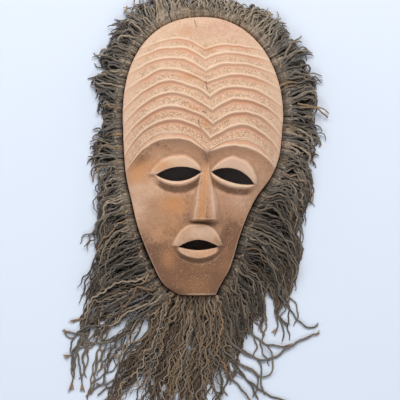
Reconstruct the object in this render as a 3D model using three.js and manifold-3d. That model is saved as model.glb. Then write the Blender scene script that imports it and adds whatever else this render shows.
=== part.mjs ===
// A carved wooden face mask with a fringe of twisted fibre cords, lying on its back rim.
// Millimetres. +Z points out of the face, +Y towards the crown, and the rim rests on Z = 0.
// The shell is one piece of wood: ridged forehead, brow, lidded slit eyes, long nose, open mouth.
// A cord runs round its side wall, and the fringe is knotted on that cord, lock by lock.
import * as THREE from "three";
import { mergeVertices } from "three/addons/utils/BufferGeometryUtils.js";
import Module from "manifold-3d";

const wasm = await Module();
wasm.setup();

// Driving dimensions of the wooden shell.
const faceHeight = 360; // chin to crown
const faceWidth = 208; // at the widest, across the forehead
const wall = 10; // thickness of the side wall
const faceThickness = 12; // thickness of the shell behind the face
const rimDepth = 30; // side wall, from the back rim to the edge of the face
const foreheadBulge = 36; // forehead in front of that edge
const cheekBulge = 27; // cheeks in front of that edge
const ridgeHeight = 5.2; // deepest forehead ridge, trough to crest
const browBand = 9; // band between the last ridge line and the hollow of the eyes
const browCove = 22; // how far the hollow takes to fall to the cheeks
const noseRise = 16; // nose tip in front of the cheeks
const lidRise = 6; // eyelids in front of the cheeks
const lipRise = 6.5; // lips in front of the cheeks

// Driving dimensions of the fringe and of the cord that carries it.
const headingCord = 10; // thickness of the knotted cord round the side wall
const clearance = 0.4; // gap between pieces that touch
const rootThickness = 20; // fringe, front to back, where it leaves the cord
const tipThickness = 5;
const lockLength = 27; // locks round the crown and the temples
const cheekLength = 82; // longest locks of the right cheek
const beardLength = 168; // longest locks under the chin
const unevenness = 0.12; // how much one lock is longer or shorter than its neighbours

// Stretches of the fringe, as shares of the way round the rim, clockwise from the middle of the chin.
const fringeSections = [
  { name: "beard_left", from: 0, to: 0.04, locks: 4 },
  { name: "jaw_left_lower", from: 0.04, to: 0.085, locks: 4 },
  { name: "jaw_left_upper", from: 0.085, to: 0.15, locks: 4 },
  { name: "temple_left_lower", from: 0.15, to: 0.23, locks: 5 },
  { name: "temple_left_upper", from: 0.23, to: 0.32, locks: 5 },
  { name: "crown_left_lower", from: 0.32, to: 0.41, locks: 5 },
  { name: "crown_left_upper", from: 0.41, to: 0.5, locks: 5 },
  { name: "crown_right_upper", from: 0.5, to: 0.59, locks: 5 },
  { name: "crown_right_lower", from: 0.59, to: 0.68, locks: 5 },
  { name: "temple_right_upper", from: 0.68, to: 0.76, locks: 5 },
  { name: "temple_right_lower", from: 0.76, to: 0.82, locks: 4 },
  { name: "jaw_right_upper", from: 0.82, to: 0.88, locks: 4 },
  { name: "jaw_right_lower", from: 0.88, to: 0.96, locks: 4 },
  { name: "beard_right", from: 0.96, to: 1, locks: 4 },
];

// Carved layout, as shares of the face's height and of half its width.
const widestAt = 0.637;
const crownRoundness = { left: 2.3, right: 2.08 }; // 2 is an ellipse, more is squarer
const ridgeCount = 8;
const noseAxis = 0.02;
const noseTop = 0.442;
const noseTip = 0.272;
const eyeLine = 0.44;

const halfWidth = faceWidth / 2;
const headingHeight = rootThickness - 0.6 * headingCord; // the cord lies level with the fringe's root
const clamp = (x, low, high) => Math.min(Math.max(x, low), high);
const mix = (a, b, u) => a + (b - a) * u;
const smooth = (a, b, x) => {
  const u = clamp((x - a) / (b - a), 0, 1);
  return u * u * (3 - 2 * u);
};

// A smooth function through [x, y] points, level beyond its ends.
function curveThrough(points) {
  const last = points.length - 1;
  const slope = (i) => {
    const [before, after] = [points[Math.max(i - 1, 0)], points[Math.min(i + 1, last)]];
    return (after[1] - before[1]) / (after[0] - before[0]);
  };
  return (x) => {
    const after = points.findIndex((point) => point[0] > x);
    const i = after === -1 ? last - 1 : Math.max(after - 1, 0);
    const [[x0, y0], [x1, y1]] = [points[i], points[i + 1]];
    const span = x1 - x0;
    const u = clamp((x - x0) / span, 0, 1);
    const bend = slope(i) * span * u * (1 - u) ** 2 + slope(i + 1) * span * u * u * (u - 1);
    return mix(y0, y1, u * u * (3 - 2 * u)) + bend;
  };
}

// The outline: a rounded crown above the widest line, and a jaw that is fuller on its left.
const leftJaw = curveThrough([
  [0, 0.3], [0.034, 0.475], [0.1, 0.61], [0.235, 0.8], [0.342, 0.892], [0.43, 0.958], [0.52, 0.985],
  [widestAt, 1],
]);
const rightJaw = curveThrough([
  [0, 0.16], [0.034, 0.215], [0.1, 0.34], [0.235, 0.485], [0.344, 0.65], [0.424, 0.845], [0.5, 0.95],
  [widestAt, 1],
]);
function edgeX(y, side) {
  const t = clamp(y / faceHeight, 0, 1);
  if (t <= widestAt) return side * halfWidth * (side < 0 ? leftJaw(t) : rightJaw(t));
  const u = (t - widestAt) / (1 - widestAt);
  const roundness = side < 0 ? crownRoundness.left : crownRoundness.right;
  return side * halfWidth * (1 - u ** roundness) ** (1 / roundness);
}

// The line that the ridges meet on wanders on the forehead, follows the nose, and leans at the chin.
const lowerAxis = curveThrough([[0, -0.09], [0.17, -0.05], [0.28, noseAxis], [0.5, noseAxis]]);
function centreX(y) {
  const t = y / faceHeight;
  return halfWidth * (lowerAxis(t) + 0.105 * Math.exp(-(((t - 0.635) / 0.115) ** 2)));
}

// Ridge line k, from 0 at the top to ridgeCount at the brow: two arches that meet in a V.
// across runs from 0 on the centre line to 1 on the outline.
function ridgeY(k, across, side) {
  const down = k / ridgeCount;
  const tip = 0.881 - 0.369 * down ** 1.15;
  const rise = side < 0 ? 0.041 + 0.033 * down ** 1.3 : 0.018 + 0.032 * down;
  const peak = side < 0 ? 0.45 : 0.42;
  const reach = across < peak ? peak : mix(0.6, 0.4, Math.min(2 * down, 1));
  return faceHeight * (tip + rise * (1 - ((across - peak) / reach) ** 2));
}

// Under the last ridge line the brow keeps a narrow band before it falls away to the eyes.
function browEdgeY(across, side) {
  return ridgeY(ridgeCount, across, side) - browBand * Math.sin(Math.PI * clamp(across, 0, 1)) ** 0.8;
}

// Almond openings with a raised lid above and a ledge below. Places are in shares, sizes in
// shares of half the width; tilt is in degrees, anticlockwise.
const apertures = {
  leftEye: {
    x: -0.3, y: 0.437, half: 0.28, up: 0.082, down: 0.097, tilt: 4,
    lid: 0.22, reach: [0.43, 0.31], ledge: 0.055, fall: 0.12, rise: lidRise, bow: 2,
  },
  rightEye: {
    x: 0.368, y: 0.42, half: 0.278, up: 0.118, down: 0.056, tilt: -16,
    lid: 0.25, reach: [0.29, 0.33], ledge: 0.05, fall: 0.12, rise: lidRise, bow: 2,
  },
  mouth: {
    x: -0.056, y: 0.1745, half: 0.25, up: 0.09, down: 0.045, tilt: 0,
    lid: 0.265, reach: [0.37, 0.37], ledge: 0.09, fall: 0.1, rise: lipRise, bow: 1.6,
  },
};

function slitEdge(aperture, along) {
  const u = Math.min(Math.abs(along) / (aperture.half * halfWidth), 1);
  return halfWidth * (1 - u ** aperture.bow) ** 0.9;
}

function apertureRelief(aperture, x, y) {
  const turn = THREE.MathUtils.degToRad(aperture.tilt);
  const [dx, dy] = [x - aperture.x * halfWidth, y - aperture.y * faceHeight];
  const along = dx * Math.cos(turn) + dy * Math.sin(turn);
  const above = dy * Math.cos(turn) - dx * Math.sin(turn);
  const reach = halfWidth * aperture.reach[along < 0 ? 0 : 1];
  const spread = Math.abs(along) / reach;
  if (above >= 0) {
    const edge = aperture.up * slitEdge(aperture, along);
    const crest = aperture.lid * halfWidth * (1 - spread ** 2);
    const over = (above - edge) / Math.max(crest - edge, 1);
    const form = over < 1 ? mix(0.6, 1, smooth(0, 1, over)) : Math.exp(-(((above - crest) / 4) ** 2));
    return aperture.rise * form * smooth(1.1, 0.75, spread);
  }
  const u = Math.abs(along) / (aperture.half * halfWidth);
  const below = -above - aperture.down * slitEdge(aperture, along);
  const ledge = aperture.ledge * halfWidth * Math.sqrt(Math.max(1 - (u / 1.1) ** 2, 0.02));
  const past = (below - ledge) / (aperture.fall * halfWidth);
  const groove = mix(mix(0.75, -0.4, smooth(-0.1, 0.75, past)), 0, smooth(0.75, 1.5, past));
  return aperture.rise * groove * smooth(1.2, 0.8, u);
}

function noseRelief(x, y) {
  const t = y / faceHeight;
  const down = clamp((noseTop - t) / (noseTop - noseTip), 0, 1);
  const half = halfWidth * mix(0.04, 0.17, down ** 0.85);
  const ridge = noseRise * mix(0.25, 1, down ** 0.9);
  const flank = clamp((half - Math.abs(x - centreX(y))) / (0.78 * half), 0, 1);
  const end = smooth(noseTip - 0.013, noseTip, t) * smooth(0.53, noseTop, t);
  return { height: ridge * flank * end, cover: smooth(0, 0.4, flank) * end };
}

// Height of the smooth forehead or cheeks above the back rim, before any carving.
function fullness(x, y, bulge, along) {
  const [left, right] = [edgeX(y, -1), edgeX(y, 1)];
  const across = clamp(Math.abs(2 * x - left - right) / Math.max(right - left, 1), 0, 1);
  return rimDepth + bulge * along * (1 - across ** 2.3);
}
const alongForehead = (y) => 1 - clamp((y / faceHeight - 0.62) / 0.38, 0, 1) ** 2.4;
const alongCheeks = (y) => mix(0.42, 1, smooth(0, 0.42, y / faceHeight));
const forehead = (x, y) => fullness(x, y, foreheadBulge, alongForehead(y));
const cheeks = (x, y) => fullness(x, y, cheekBulge, alongCheeks(y));

// One ridge falls steeply from its crest and climbs slowly to the next: 1 at a crest, -1 in a trough.
const ridgeTrough = 0.34;
const ridgeForm = (u) =>
  u < ridgeTrough
    ? Math.cos((Math.PI * u) / ridgeTrough)
    : 2 * ((u - ridgeTrough) / (1 - ridgeTrough)) ** 1.3 - 1;

function ridgeRelief(y, across, side) {
  const size = (k) => 0.5 * ridgeHeight * mix(0.45, 1, k / ridgeCount);
  const fade = 1 - 0.55 * smooth(0.7, 1, across);
  const top = ridgeY(0, across, side);
  if (y >= top) return size(0) * fade * (1 - smooth(0, 0.04 * faceHeight, y - top));
  const brow = ridgeY(ridgeCount, across, side);
  if (y < brow) return size(ridgeCount) * fade * mix(1, 0.1, clamp((brow - y) / browBand, 0, 1));
  let k = 0;
  while (k < ridgeCount - 1 && ridgeY(k + 1, across, side) > y) k += 1;
  const [above, below] = [ridgeY(k, across, side), ridgeY(k + 1, across, side)];
  const u = clamp((above - y) / (above - below), 0, 1);
  return mix(size(k), size(k + 1), u) * fade * ridgeForm(u);
}

// Height of the carved face above the back rim.
function faceZ(x, y) {
  const side = x < centreX(y) ? -1 : 1;
  const across = clamp((x - centreX(y)) / (edgeX(y, side) - centreX(y) || 1), 0, 1);
  const browEdge = browEdgeY(across, side);
  if (y >= browEdge) return forehead(x, y) + ridgeRelief(y, across, side);
  const cove = clamp(1 - (browEdge - y) / browCove, 0, 1) ** 2;
  const overhang = forehead(x, y) + ridgeRelief(browEdge, across, side) - cheeks(x, y);
  const openings = Object.values(apertures).map((aperture) => apertureRelief(aperture, x, y));
  const lids = openings.find((relief) => Math.abs(relief) > 0.01) ?? 0;
  const nose = noseRelief(x, y);
  return cheeks(x, y) + cove * overhang + lids * (1 - nose.cover) + nose.height;
}

// A closed geometry from corner positions and triangles, with corners in one place joined.
function closedGeometry(positions, triangles) {
  const loose = new THREE.BufferGeometry();
  loose.setAttribute("position", new THREE.Float32BufferAttribute(positions, 3));
  loose.setIndex(triangles);
  const welded = mergeVertices(loose, 1e-4);
  const index = welded.index.array;
  const kept = [];
  for (let i = 0; i < index.length; i += 3) {
    const [a, b, c] = index.slice(i, i + 3);
    if (a !== b && b !== c && c !== a) kept.push(a, b, c);
  }
  welded.setIndex(kept);
  return welded;
}

function solidFrom(geometry) {
  const bare = geometry.index ? geometry.toNonIndexed() : geometry.clone();
  const position = bare.getAttribute("position");
  const welded = closedGeometry(Array.from(position.array), [...Array(position.count).keys()]);
  const vertProperties = new Float32Array(welded.getAttribute("position").array);
  const triVerts = new Uint32Array(welded.index.array);
  return new wasm.Manifold(new wasm.Mesh({ numProp: 3, vertProperties, triVerts }));
}

function geometryFrom(solid) {
  const mesh = solid.getMesh();
  const positions = [];
  for (let i = 0; i < mesh.numVert; i += 1) {
    positions.push(...mesh.vertProperties.subarray(i * mesh.numProp, i * mesh.numProp + 3));
  }
  const geometry = closedGeometry(positions, Array.from(mesh.triVerts));
  geometry.computeVertexNormals();
  return geometry;
}

// A closed block between a level floor and a grid of [x, y, z] rows. Rows run down the page where
// columns run to the right.
function blockUnder(rows, floor) {
  const positions = [];
  const triangles = [];
  const across = rows[0].length;
  const count = rows.length * across;
  rows.flat().forEach((point) => positions.push(...point));
  rows.flat().forEach(([x, y]) => positions.push(x, y, floor));
  const quad = (a, b, c, d) => triangles.push(a, b, c, a, c, d);
  for (let r = 0; r < rows.length - 1; r += 1) {
    for (let c = 0; c < across - 1; c += 1) {
      const at = r * across + c;
      quad(at, at + across, at + across + 1, at + 1);
      quad(count + at, count + at + 1, count + at + across + 1, count + at + across);
    }
    for (const [c, flip] of [[0, 0], [across - 1, 1]]) {
      const [high, low] = [r * across + c, (r + 1) * across + c];
      if (flip) quad(high, low, low + count, high + count);
      else quad(high, high + count, low + count, low);
    }
  }
  for (let c = 0; c < across - 1; c += 1) {
    const bottom = (rows.length - 1) * across + c;
    quad(c, c + 1, c + 1 + count, c + count);
    quad(bottom, bottom + count, bottom + count + 1, bottom + 1);
  }
  return closedGeometry(positions, triangles);
}

// Rows of the carved face follow the ridges, then flatten out below the brow.
const acrossSteps = [0, 0.04, 0.1, 0.18, 0.27, 0.36, 0.45, 0.54, 0.63, 0.72, 0.81, 0.89, 0.95, 1];
const columns = [
  ...acrossSteps.toReversed().map((across) => [across, -1]),
  ...acrossSteps.slice(1).map((across) => [across, 1]),
];
const stepsBetween = (from, to, count) =>
  Array.from({ length: count }, (_, i) => mix(from, to, (i + 1) / count));

function faceRows() {
  const lines = [];
  for (const rise of [1, 0.97, 0.88, 0.7, 0.4, 0.15]) {
    lines.push((across, side) => mix(ridgeY(0, across, side), faceHeight, rise));
  }
  for (let k = 0; k < ridgeCount; k += 1) {
    for (const u of [0, ridgeTrough / 2, ridgeTrough, (1 + ridgeTrough) / 2]) {
      lines.push((across, side) => mix(ridgeY(k, across, side), ridgeY(k + 1, across, side), u));
    }
  }
  lines.push((across, side) => ridgeY(ridgeCount, across, side));
  for (let i = 0; i <= 11; i += 1) {
    lines.push((across, side) => mix(browEdgeY(across, side), eyeLine * faceHeight, i / 11));
  }
  const stations = [
    ...stepsBetween(eyeLine, 0.34, 9), ...stepsBetween(0.34, noseTip, 4), noseTip - 0.014,
    ...stepsBetween(noseTip - 0.014, 0.1, 13), ...stepsBetween(0.1, 0, 4),
  ];
  for (const t of stations) lines.push(() => t * faceHeight);
  return lines.map((line) =>
    columns.map(([across, side]) => {
      const y = Math.min(line(across, side), faceHeight);
      const x = mix(centreX(y), edgeX(y, side), across);
      return [x, y, faceZ(x, y)];
    }),
  );
}

// The outline as points, clockwise from the middle of the chin, seen from the front.
const outline = [];
const outlineSteps = 160;
for (const side of [-1, 1]) {
  const half = [];
  for (let i = 0; i <= outlineSteps; i += 1) {
    const y = faceHeight * Math.sin((Math.PI / 2) * (i / outlineSteps));
    half.push(new THREE.Vector2(edgeX(y, side), y));
  }
  if (side > 0) half.reverse().shift();
  outline.push(...half);
}
outline.unshift(new THREE.Vector2(centreX(0), 0));

// The inside of the wall at a height, one wall thickness from every point of the outline.
function insideX(y, side) {
  const near = outline.filter((point) => Math.abs(point.y - y) < wall && (point.x - centreX(y)) * side > 0);
  const bounds = near.map((point) => side * point.x - Math.sqrt(wall ** 2 - (point.y - y) ** 2));
  return side * Math.min(...bounds);
}

function hollowRows() {
  const stations = [1, 0.98, 0.93, 0.84, 0.73, 0.62, 0.52, 0.42, 0.32, 0.22, 0.13, 0.06, 0];
  return stations.map((u) => {
    const y = mix(wall, faceHeight - wall, u);
    const [left, right] = [insideX(y, -1), insideX(y, 1)];
    return [0, 0.06, 0.18, 0.34, 0.5, 0.66, 0.82, 0.94, 1].map((v) => {
      const x = mix(left, right, v);
      return [x, y, mix(cheeks(x, y), forehead(x, y), smooth(0.47, 0.6, y / faceHeight)) - faceThickness];
    });
  });
}

function apertureCutter(aperture) {
  const steps = 8;
  const half = aperture.half * halfWidth;
  const at = (i, height) => {
    const along = half * Math.cos((Math.PI * i) / steps);
    return new THREE.Vector2(along, height * slitEdge(aperture, along));
  };
  const upper = Array.from({ length: steps }, (_, i) => at(i, aperture.up));
  const lower = Array.from({ length: steps }, (_, i) => at(steps - i, -aperture.down));
  const depth = rimDepth + foreheadBulge + noseRise;
  const almond = new THREE.Shape([...upper, ...lower]);
  const cutter = new THREE.ExtrudeGeometry(almond, { depth, bevelEnabled: false });
  cutter.rotateZ(THREE.MathUtils.degToRad(aperture.tilt));
  cutter.translate(aperture.x * halfWidth, aperture.y * faceHeight, 1);
  return solidFrom(cutter);
}

// The outline moved outwards, rounded at the corners of the chin, as points that each have their
// outward direction and the distance run from the middle of the chin.
function rimPath(offset) {
  const path = [];
  outline.forEach((corner, i) => {
    const before = outline.at(i - 1);
    const after = outline[(i + 1) % outline.length];
    const facing = (a, b) => Math.atan2(a.x - b.x, b.y - a.y) + Math.PI;
    const turn = facing(corner, after) - facing(before, corner);
    const sweep = Math.atan2(Math.sin(turn), Math.cos(turn));
    const parts = sweep < -0.15 ? Math.ceil((-sweep * offset) / 2) + 2 : 0;
    for (let part = 0; part <= parts; part += 1) {
      const angle = facing(before, corner) + sweep * (parts ? part / parts : 0.5);
      const outward = new THREE.Vector2(Math.cos(angle), Math.sin(angle));
      const point = corner.clone().addScaledVector(outward, offset);
      const run = path.length ? path.at(-1).run + point.distanceTo(path.at(-1).point) : 0;
      path.push({ point, outward, run });
    }
  });
  const length = path.at(-1).run + path[0].point.distanceTo(path.at(-1).point);
  path.push({ ...path[0], run: length });
  return path;
}

function rimAt(path, share) {
  const run = share * path.at(-1).run;
  const next = clamp(path.findIndex((step) => step.run >= run), 1, path.length - 1);
  const [a, b] = [path[next - 1], path[next]];
  const u = (run - a.run) / (b.run - a.run || 1);
  return {
    point: a.point.clone().lerp(b.point, u),
    outward: a.outward.clone().lerp(b.outward, u).normalize(),
  };
}

// A closed hexagonal ring along the rim path, with a flat side of the section against the wood.
function cordRing(radius, path) {
  const turnLimit = THREE.MathUtils.degToRad(7);
  const kept = [path[0]];
  for (const step of path.slice(0, -2)) {
    const turned = Math.abs(step.outward.angleTo(kept.at(-1).outward));
    if (turned > turnLimit || step.run - kept.at(-1).run > 22) kept.push(step);
  }
  const sides = 6;
  const positions = [];
  const triangles = [];
  kept.forEach(({ point, outward }, i) => {
    for (let side = 0; side < sides; side += 1) {
      const angle = ((side + 0.5) * 2 * Math.PI) / sides;
      const out = (radius / Math.cos(Math.PI / sides)) * Math.cos(angle);
      const up = (radius / Math.cos(Math.PI / sides)) * Math.sin(angle);
      positions.push(point.x + out * outward.x, point.y + out * outward.y, headingHeight + up);
      const [a, b] = [i * sides + side, i * sides + ((side + 1) % sides)];
      const [c, d] = [a, b].map((corner) => (corner + sides) % (kept.length * sides));
      triangles.push(a, b, d, a, d, c);
    }
  });
  return closedGeometry(positions, triangles);
}

// How far the locks reach round the rim, and which way they point, in degrees from +X: short
// round the crown, longer down the right cheek, and longest under the chin.
const reachAround = curveThrough([
  [0, beardLength], [0.04, 0.93 * beardLength], [0.075, 0.62 * beardLength], [0.1, 0.43 * beardLength],
  [0.145, 0.28 * beardLength], [0.19, 0.85 * lockLength], [0.245, lockLength], [0.29, 0.5 * lockLength],
  [0.34, 0.95 * lockLength], [0.45, 1.05 * lockLength], [0.5, 0.6 * lockLength], [0.61, lockLength],
  [0.72, 1.25 * lockLength], [0.8, 0.52 * cheekLength], [0.85, cheekLength], [0.91, 0.68 * cheekLength],
  [0.95, 0.9 * cheekLength], [0.97, 0.9 * beardLength], [1, beardLength],
]);
const headingAround = curveThrough([
  [0, -92], [0.04, -115], [0.065, -143], [0.14, -149], [0.19, -168], [0.3, -184], [0.45, -212],
  [0.5, -266], [0.55, -318], [0.65, -357], [0.75, -374], [0.84, -408], [0.9, -420], [0.96, -438],
  [1, -452],
]);

// One stretch of fringe: locks side by side, thick at the cord, with a parting between them that
// is deeper where they fan out, and tips that draw together.
function fringeSection(path, from, to, locks) {
  const across = [0, 0.3, 0.7];
  const columns = [];
  for (let lock = 0; lock < locks; lock += 1) {
    across.forEach((v, i) => columns.push({ share: mix(from, to, (lock + v) / locks), full: i > 0, lock }));
  }
  columns.push({ share: to, full: false, lock: locks - 1 });
  const longest = Math.max(...columns.map(({ share }) => reachAround(share)));
  const steps = longest > 1.6 * lockLength ? [0, 0.15, 0.35, 0.6, 0.85, 1] : [0, 0.3, 0.7, 1];
  const rows = steps.map((step) =>
    columns.toReversed().map(({ share: rooted, full, lock }) => {
      const centre = mix(from, to, (lock + 0.5) / locks);
      const share = full ? mix(rooted, centre, 0.6 * step ** 2) : rooted;
      const { point, outward } = rimAt(path, share);
      const uneven = 1 + unevenness * Math.sin(9 * lock + 40 * from);
      const turning = Math.abs(headingAround(share + 0.005) - headingAround(share - 0.005));
      const fan = (turning * reachAround(share)) / lockLength;
      const parting = clamp(0.82 - fan / 148, 0.35, 1);
      const reach = reachAround(share) * (full ? uneven : parting);
      const sway = 4 * Math.sin(2 * Math.PI * 15 * share);
      const heading = THREE.MathUtils.degToRad(headingAround(share) + sway);
      const aim = new THREE.Vector2(Math.cos(heading), Math.sin(heading));
      const spring = Math.min(0.8 * reach, 1.5 * lockLength);
      point.addScaledVector(outward, spring * step * (1 - step)).addScaledVector(aim, reach * step ** 2);
      return [point.x, point.y, mix(rootThickness, tipThickness, step ** 0.8) * (full ? 1 : 0.7)];
    }),
  );
  return geometryFrom(solidFrom(blockUnder(rows, 0)).simplify(0.01));
}

function maskShell() {
  let shell = solidFrom(blockUnder(faceRows(), 0));
  shell = shell.subtract(solidFrom(blockUnder(hollowRows(), -1)));
  for (const aperture of Object.values(apertures)) shell = shell.subtract(apertureCutter(aperture));
  return geometryFrom(shell);
}

const wood = new THREE.MeshStandardMaterial({ color: 0xb98a66, roughness: 0.75, metalness: 0 });
const cord = new THREE.MeshStandardMaterial({ color: 0x6b5c4c, roughness: 0.95, metalness: 0 });
const fibre = new THREE.MeshStandardMaterial({ color: 0x5b4f43, roughness: 0.95, metalness: 0 });

const group = new THREE.Group();
function add(name, geometry, material) {
  const mesh = new THREE.Mesh(geometry, material);
  mesh.name = name;
  group.add(mesh);
}
add("mask_face", maskShell(), wood);
add("heading_cord", cordRing(headingCord / 2, rimPath(clearance + headingCord / 2)), cord);
const fringePath = rimPath(headingCord + 2 * clearance);
for (const { name, from, to, locks } of fringeSections) {
  const gap = clearance / fringePath.at(-1).run;
  add(name, fringeSection(fringePath, from + gap / 2, to - gap / 2, locks), fibre);
}

const box = new THREE.Box3().setFromObject(group);
const middle = box.getCenter(new THREE.Vector3());
for (const piece of group.children) piece.geometry.translate(-middle.x, -middle.y, -box.min.z);

export default group;
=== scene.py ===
import math

import bmesh
import bpy
import numpy as np
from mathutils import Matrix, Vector


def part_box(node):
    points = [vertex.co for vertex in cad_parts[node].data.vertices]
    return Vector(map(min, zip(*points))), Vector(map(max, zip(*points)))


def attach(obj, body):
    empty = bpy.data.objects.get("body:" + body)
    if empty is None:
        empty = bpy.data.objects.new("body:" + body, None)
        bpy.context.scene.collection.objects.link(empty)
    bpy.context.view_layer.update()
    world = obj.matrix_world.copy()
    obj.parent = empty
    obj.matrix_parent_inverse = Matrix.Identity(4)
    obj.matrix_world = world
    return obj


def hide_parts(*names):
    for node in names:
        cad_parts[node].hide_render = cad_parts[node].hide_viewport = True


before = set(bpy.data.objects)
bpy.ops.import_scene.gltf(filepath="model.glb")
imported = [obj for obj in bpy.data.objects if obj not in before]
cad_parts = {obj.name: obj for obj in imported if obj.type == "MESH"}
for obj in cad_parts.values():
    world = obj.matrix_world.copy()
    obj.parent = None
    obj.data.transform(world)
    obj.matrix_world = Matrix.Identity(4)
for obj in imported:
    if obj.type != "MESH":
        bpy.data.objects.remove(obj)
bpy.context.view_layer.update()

mm = 0.001
woodLow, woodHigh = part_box("mask_face")
# The carving is drawn with the chin at y 0 and the middle of the face at x 0, in mm.
shift = np.array([500 * (woodLow[0] + woodHigh[0]), 1000 * woodLow[1], 0.0])

view = {"width": 518.0, "middle": (4.28, 22.45), "level": 30.0, "distance": 3000.0, "sensor": 36.0}
lighting = {"sky": (0.80, 0.88, 1.0), "skyStrength": 0.5, "overhead": 0.06, "horizon": (0.45, 0.85),
            "floor": (0.70, 0.76, 0.86), "aim": (0, 0.05, 0)}
# Each lamp: place, size, power and colour. None stands overhead or far to the side and high, so that little
# light falls through the slits.
lamps = {
    "key": ((0.4, 1.55, 1.9), 1.2, 42.0, (1.0, 0.975, 0.94)),
    "left": ((-0.95, 1.35, 1.55), 1.0, 13.5, (0.97, 0.98, 1.0)),
    "foot": ((-0.1, -1.8, 1.6), 1.2, 15.0, (0.96, 0.98, 1.0)),
    "low": ((-1.9, 0.1, 0.8), 1.0, 9.0, (0.96, 0.98, 1.0)),
    "lowRight": ((1.9, 0.0, 0.8), 1.0, 6.0, (0.96, 0.98, 1.0)),
}


def addObject(name, data):
    added = bpy.data.objects.new(name, data)
    bpy.context.scene.collection.objects.link(added)
    return added


def setUpView():
    camera = addObject("camera", bpy.data.cameras.new("camera"))
    camera.data.sensor_width = view["sensor"]
    camera.data.lens = view["sensor"] * view["distance"] / view["width"]
    camera.data.clip_end = 30
    camera.location = [mm * value for value in (*view["middle"], view["level"] + view["distance"])]
    bpy.context.scene.camera = camera
    bpy.context.scene.view_settings.view_transform = "Standard"


def setUpLight():
    world = bpy.data.worlds.new("studio")
    bpy.context.scene.world = world
    world.use_nodes = True
    sky = world.node_tree.nodes["Background"].inputs
    sky["Color"].default_value = (*lighting["sky"], 1)
    nodes = Nodes(world.node_tree)
    height = nodes.parts(nodes.add("TexCoord").outputs["Generated"])["Z"]
    overhead = lighting["overhead"] * lighting["skyStrength"]
    nodes.feed(sky["Strength"], nodes.ramp(height, *lighting["horizon"], lighting["skyStrength"], overhead))
    for name, (place, size, power, colour) in lamps.items():
        lamp = bpy.data.lights.new(name, "AREA")
        lamp.size = size
        lamp.energy = power
        lamp.color = colour
        holder = addObject(name, lamp)
        holder.location = place
        holder.rotation_euler = (Vector(lighting["aim"]) - Vector(place)).to_track_quat("-Z", "Y").to_euler()


class Nodes:  # builds in a node tree: a value is a number, a colour, a vector or the socket that gives it
    def __init__(self, tree):
        self.tree = tree

    def feed(self, socket, value):
        if isinstance(value, bpy.types.NodeSocket):
            self.tree.links.new(value, socket)
        elif isinstance(value, tuple):
            socket.default_value = (*value, 1)[:len(socket.default_value)]
        else:
            socket.default_value = value

    def add(self, kind, feeds=(), **values):  # values by name are the node's own settings, or else its inputs
        node = self.tree.nodes.new("ShaderNode" + kind)
        for key, value in values.items():
            if hasattr(node, key):
                setattr(node, key, value)
            else:
                self.feed(node.inputs[key], value)
        for socket, value in zip(node.inputs, feeds):
            self.feed(socket, value)
        return node

    def group(self, tree, **values):
        return self.add("Group", node_tree=tree, **values).outputs

    def maths(self, operation, *feeds, clamped=False):
        return self.add("Math", feeds, operation=operation, use_clamp=clamped).outputs[0]

    def times(self, *values):
        product = values[0]
        for value in values[1:]:
            product = self.maths("MULTIPLY", product, value)
        return product

    def ramp(self, value, *limits):  # limits are from, to, and what these two give
        return self.add("MapRange", (value, *limits), interpolation_type="SMOOTHSTEP").outputs["Result"]

    def blend(self, share, a, b):
        node = self.add("Mix", data_type="RGBA")
        for place, value in ((0, share), (6, a), (7, b)):
            self.feed(node.inputs[place], value)
        return node.outputs[2]

    def layered(self, colour, base, layers):  # each layer, a share and a colour's name, over those before it
        for share, name in layers:
            base = self.blend(share, base, colour[name])
        return base

    def parts(self, vector):
        return self.add("SeparateXYZ", (vector,)).outputs

    def attribute(self, name):
        return self.add("Attribute", attribute_name=name).outputs["Vector"]

    def place(self):
        return self.add("TexCoord").outputs["Object"]

    def noise(self, scale, detail, roughness=0.5, place=None):
        place = place or self.place()
        node = self.add("TexNoise", Vector=place, Scale=scale, Detail=detail, Roughness=roughness)
        return node.outputs["Fac"]

    def bump(self, height, strength, distance):
        return self.add("Bump", Strength=strength, Distance=distance, Height=height).outputs["Normal"]


def newGroup(name, inputs, outputs):  # an input with no number is a vector
    tree = bpy.data.node_groups.new(name, "ShaderNodeTree")
    for label, number in inputs.items():
        kind = "Vector" if number is None else "Float"
        socket = tree.interface.new_socket(label, in_out="INPUT", socket_type="NodeSocket" + kind)
        if number is not None:
            socket.default_value = number
    for label in outputs:
        tree.interface.new_socket(label, in_out="OUTPUT", socket_type="NodeSocketFloat")
    return Nodes(tree), tree.nodes.new("NodeGroupInput").outputs, tree.nodes.new("NodeGroupOutput").inputs


def newMaterial(name, specular):
    material = bpy.data.materials.new(name)
    material.use_nodes = True
    shader = material.node_tree.nodes["Principled BSDF"].inputs
    shader["Specular IOR Level"].default_value = specular
    return material, Nodes(material.node_tree), shader


def fromScreen(*colour):  # a screen colour, 0 to 255, as the linear colour that a shader takes
    shares = [value / 255 for value in colour]
    return tuple((c / 12.92 if c <= 0.04045 else ((c + 0.055) / 1.055) ** 2.4) for c in shares)


def clamp01(x):
    return np.clip(x, 0.0, 1.0)


def mix(a, b, u):
    return a + (b - a) * u


def smooth(a, b, x):
    u = clamp01((x - a) / (b - a))
    return u * u * (3 - 2 * u)


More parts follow.
